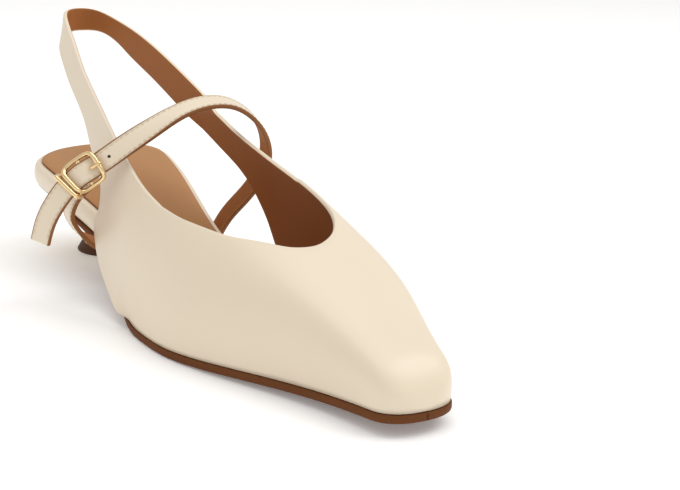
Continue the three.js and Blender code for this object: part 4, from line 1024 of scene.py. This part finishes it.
# %% Wire helper and the buckle's frame
def wire_loops(path, diameter, sides=20, closed=True):
    """Circles square to a path, all set out from the path's own plane."""
    flat = np.cross(path[1:-1] - path[0], path[2:] - path[0]).sum(0)
    if np.linalg.norm(flat) < 1e-6:
        flat = np.cross([1, 0, 0], path[1] - path[0])
    flat = unit(flat)
    if closed:
        tangent = unit(np.roll(path, -1, 0) - np.roll(path, 1, 0))
    else:
        tangent = unit(np.gradient(path, axis=0))
    side = unit(np.cross(tangent, flat))
    turn = np.linspace(0, 2 * math.pi, sides, endpoint=False)
    size = np.broadcast_to(diameter, (len(path),))[:, None, None] / 2
    return path[:, None] + size * (np.cos(turn)[:, None] * side[:, None] + np.sin(turn)[:, None] * flat)


def squared_loop(reach, side, count, power=5):
    """Superellipse: cosine and sine raised to 2/power, keeping their signs."""
    turn = np.arange(count) / count * 2 * math.pi
    c, s = np.cos(turn), np.sin(turn)
    return (reach * np.sign(c) * np.abs(c) ** (2 / power), side * np.sign(s) * np.abs(s) ** (2 / power))


over_strap = STRAP_THICK / 2 + PLAY
end_bar = -LIFT + over_strap + BUCKLE_WIRE / 2
middle_bar = LIFT - over_strap - BAR_WIRE / 2
along, across = squared_loop(buckle_reach, buckle_side, 144)
rim = instep.at(buckle_t + along, across, mix(middle_bar, end_bar, np.abs(along / buckle_reach) ** 4))
tube("buckle_rim", wire_loops(rim, BUCKLE_WIRE), 0, [gold_bright], ["buckle_frame"], True)
bar_path = instep.at(buckle_t, np.linspace(-buckle_side, buckle_side, 12), middle_bar)
tube("buckle_bar", wire_loops(bar_path, BAR_WIRE, closed=False), 0, [gold_bright], [])

# %% Keeper and prong
KEEPER_DEEP = 6.6
KEEPER_WIRE = 1.6
PRONG_WIRE = 1.3
PRONG_HOLE = 0.5
keeper_t = buckle_t + buckle_reach + BUCKLE_WIRE + GAP
keeper_top = float(strap_lift(keeper_t)) + over_strap + KEEPER_WIRE / 2
deep, across = squared_loop(KEEPER_DEEP / 2, buckle_side, 144)
keeper_path = instep.at(keeper_t, across, keeper_top - KEEPER_DEEP / 2 + deep)
tube("buckle_keeper_wire", wire_loops(keeper_path, KEEPER_WIRE), 0, [gold_bright],
     ["buckle_keeper"], True)
hole_t = buckle_t - buckle_reach * PRONG_HOLE
start_t = buckle_t - (BAR_WIRE + PRONG_WIRE) / 2 - GAP
under = -over_strap - PRONG_WIRE
over = end_bar + (BUCKLE_WIRE + PRONG_WIRE) / 2 + GAP
prong_rows = np.array([
    [start_t, mix(middle_bar, under, 0.4)], [mix(start_t, hole_t, 0.6), under],
    [hole_t, mix(under, 0, 0.25)], [hole_t, 0], [hole_t, mix(0, over, 0.45)],
    [mix(hole_t, buckle_t - buckle_reach, 0.4), mix(0, over, 0.9)],
    [buckle_t - buckle_reach, over], [buckle_t - buckle_reach - PRONG_WIRE, over - GAP]])
prong_at = travel(prong_rows)
prong_line = natural(prong_at, prong_rows)(np.linspace(0, prong_at[-1], 60))
prong_path = instep.at(prong_line[:, 0], 0, prong_line[:, 1])
tip = np.sqrt(np.clip(np.linspace(prong_at[-1], 0, 60) / 0.7, 0, 1))
prong_loops = wire_loops(prong_path, PRONG_WIRE * np.maximum(tip, 0.15), closed=False)
tube("buckle_prong_wire", prong_loops, 0, [gold_bright], ["buckle_prong"])

# %% [markdown]
# ## Heel
# The heel is a low spool: a slim round neck that spreads to the seat above and to the top piece below.
# Its upper rim follows the seat's outline and ends in a straight breast, so each ring blends from circle
# to seat.

# %% Build the heel
TIP_RADIUS = 13.15
TIP_HEIGHT = 8.3
TIP_TOP_RADIUS = 9.9
NECK_RADIUS = 7.4
NECK_HEIGHT = 19.0
NECK_SHIFT = 2.5
CUP_DEPTH = 9.0
CUP_INSET = 1.2
CORNER_POWER = 18.0
ROUND = 112
angles = np.linspace(-math.pi, math.pi, ROUND, endpoint=False)
neck_radius = natural([TIP_HEIGHT, (TIP_HEIGHT + NECK_HEIGHT) / 2, NECK_HEIGHT, HEEL - CUP_DEPTH],
                      [TIP_TOP_RADIUS, NECK_RADIUS + 0.6, NECK_RADIUS, NECK_RADIUS + 1.4])


def heel_ahead(z):
    """The neck leans forward from the top piece."""
    return NECK_SHIFT * np.minimum(np.asarray(z, float) / NECK_HEIGHT, 1)


def turned_rings(z, radius):
    """Circles about the leaning axis of the heel."""
    radius = radius[:, None]
    return np.stack([heel_ahead(z)[:, None] + radius * np.cos(angles), radius * np.sin(angles),
                     z[:, None] + 0 * angles], -1)


def seat_reach(angle):
    """Way from the neck's axis to the seat's edge or the breast line, blended to round the corners."""
    lateral, medial, lateral_out, medial_out = footbed_plan
    ring = np.concatenate([lateral - CUP_INSET * lateral_out, (medial - CUP_INSET * medial_out)[::-1]])
    ring = ring[ring[:, 0] < BACK + 0.32 * LENGTH] - [NECK_SHIFT, 0]
    polar = np.arctan2(ring[:, 1], ring[:, 0])
    order = np.argsort(polar)
    edge = np.interp(angle, polar[order], np.linalg.norm(ring, axis=1)[order], period=2 * math.pi)
    breast = (BACK + BREAST * LENGTH - NECK_SHIFT) / np.maximum(np.cos(angle), 1e-3)
    return (edge ** -CORNER_POWER + breast ** -CORNER_POWER) ** (-1 / CORNER_POWER)


neck_z = np.linspace(TIP_HEIGHT + 0.1, HEEL - CUP_DEPTH, 26)
neck = turned_rings(neck_z, neck_radius(neck_z))
CUP_ROWS = [[0, 0], [0.1, 0.16], [0.3, 0.38], [0.65, 0.72], [1, 1]]
cup_rows = natural(range(5), CUP_ROWS)(np.linspace(0, 4, 30)[1:])
reach = mix(neck_radius(HEEL - CUP_DEPTH), seat_reach(angles)[None], cup_rows[:, :1])
cup_x = NECK_SHIFT + reach * np.cos(angles)
cup_z = mix(HEEL - CUP_DEPTH, footbed_under(cup_x) - 0.05, cup_rows[:, 1:])
cup = np.stack([cup_x, reach * np.sin(angles), cup_z], -1)
tube("heel_spool", np.concatenate([neck, cup]), 0, [gold_satin], ["heel"])

# %% [markdown]
# ## Top piece
# The replaceable top piece takes the wear, so it is a plain brown block with a small chamfer at the floor.

# %% Build the top piece
tip_z = np.array([0, 0.12, 0.35, 0.7, 1.2, 2.2, 4.15, 6.2, 7.6, 8.1, TIP_HEIGHT])
tip_radius = np.interp(tip_z, [0, 0.12, 0.35, 0.7, 4.15, TIP_HEIGHT],
                       [TIP_RADIUS - 0.5, TIP_RADIUS - 0.25, TIP_RADIUS - 0.08, TIP_RADIUS,
                        mix(TIP_RADIUS, TIP_TOP_RADIUS, 0.55), TIP_TOP_RADIUS])
tube("top_piece_block", turned_rings(tip_z, tip_radius), 0, [top_rubber],
     ["heel_top_piece"])

# %% [markdown]
# ## Stage, light and camera
# A pale seamless floor and a large soft light from the upper right give the photograph's white ground and
# faint shadow.
# The camera looks down on the shoe from in front of the toe, a little to its outer side, with a long lens.

# %% Floor and light
floor_paper = bpy.data.materials.new("floor_paper")
floor_paper.use_nodes = True
paper = floor_paper.node_tree
paper_shader = paper.nodes["Principled BSDF"]
paper_noise = add_node(paper, "TexNoise", {"Scale": 3.0})
paper_tone = add_node(paper, "Mix", {6: (0.93, 0.93, 0.93, 1), 7: (0.95, 0.95, 0.95, 1)}, data_type="RGBA")
wire_up(paper, (paper_noise, "Fac", paper_tone, 0),
        (paper_tone, 2, paper_shader, "Base Color"),
        (paper_tone, 2, paper_shader, "Emission Color"))
for socket, value in (("Roughness", 0.9), ("Emission Strength", 0.17), ("Specular IOR Level", 0.1)):
    paper_shader.inputs[socket].default_value = value
FLOOR_SIDE = [-6000.0, 6000.0]
FLOOR_HEIGHT = [-0.05]
floor_points = np.stack(np.meshgrid(FLOOR_SIDE, FLOOR_SIDE, FLOOR_HEIGHT, indexing="ij"), -1).reshape(-1, 3)
floor = make_mesh("floor", floor_points, [[0, 2, 3, 1]], [0], [floor_paper], False)

world = bpy.data.worlds.new("pale_room")
world.use_nodes = True
world.node_tree.nodes["Background"].inputs["Color"].default_value = (1.0, 0.99, 0.975, 1)
world.node_tree.nodes["Background"].inputs["Strength"].default_value = 0.72
bpy.context.scene.world = world
bpy.context.scene.view_settings.view_transform = "Standard"


def area_light(name, place, target, width, height, power):
    """Soft rectangular light that looks at a point."""
    lamp = bpy.data.lights.new(name, "AREA")
    lamp.shape = "RECTANGLE"
    lamp.size = width
    lamp.size_y = height
    lamp.energy = power
    item = bpy.data.objects.new(name, lamp)
    item.location = place
    item.rotation_euler = (Vector(target) - Vector(place)).to_track_quat("-Z", "Y").to_euler()
    bpy.context.scene.collection.objects.link(item)
    return item


area_light("key_soft", (0.55, 0.75, 1.15), (0.09, 0, 0.03), 0.9, 0.7, 5)
area_light("top_soft", (0.1, 0.05, 1.5), (0.1, 0, 0), 1.4, 1.4, 6)

# %% Camera
SENSOR = 36.0
FOCAL_PIXELS = 1351.49
PICTURE_WIDE = 680
yaw, pitch, roll = 0.5669, 0.2723, 0.038
forward = np.array([-math.cos(yaw) * math.cos(pitch), math.sin(yaw) * math.cos(pitch), -math.sin(pitch)])
level = np.array([math.sin(yaw), math.cos(yaw), 0])
lift = np.cross(level, forward)
right = math.cos(roll) * level + math.sin(roll) * lift
upward = math.cos(roll) * lift - math.sin(roll) * level
camera = bpy.data.objects.new("camera", bpy.data.cameras.new("camera"))
camera.data.sensor_width = SENSOR
camera.data.lens = FOCAL_PIXELS / PICTURE_WIDE * SENSOR
camera.data.clip_start = 0.01
camera.data.clip_end = 50
turned = Matrix(np.stack([right, upward, -forward], 1).tolist()).to_4x4()
camera.matrix_world = Matrix.Translation((0.54107, -0.22251, 0.16644)) @ turned
bpy.context.scene.collection.objects.link(camera)
bpy.context.scene.camera = camera
print("lens", round(camera.data.lens, 2), "mm")

# %% Update the scene
bpy.context.view_layer.update()
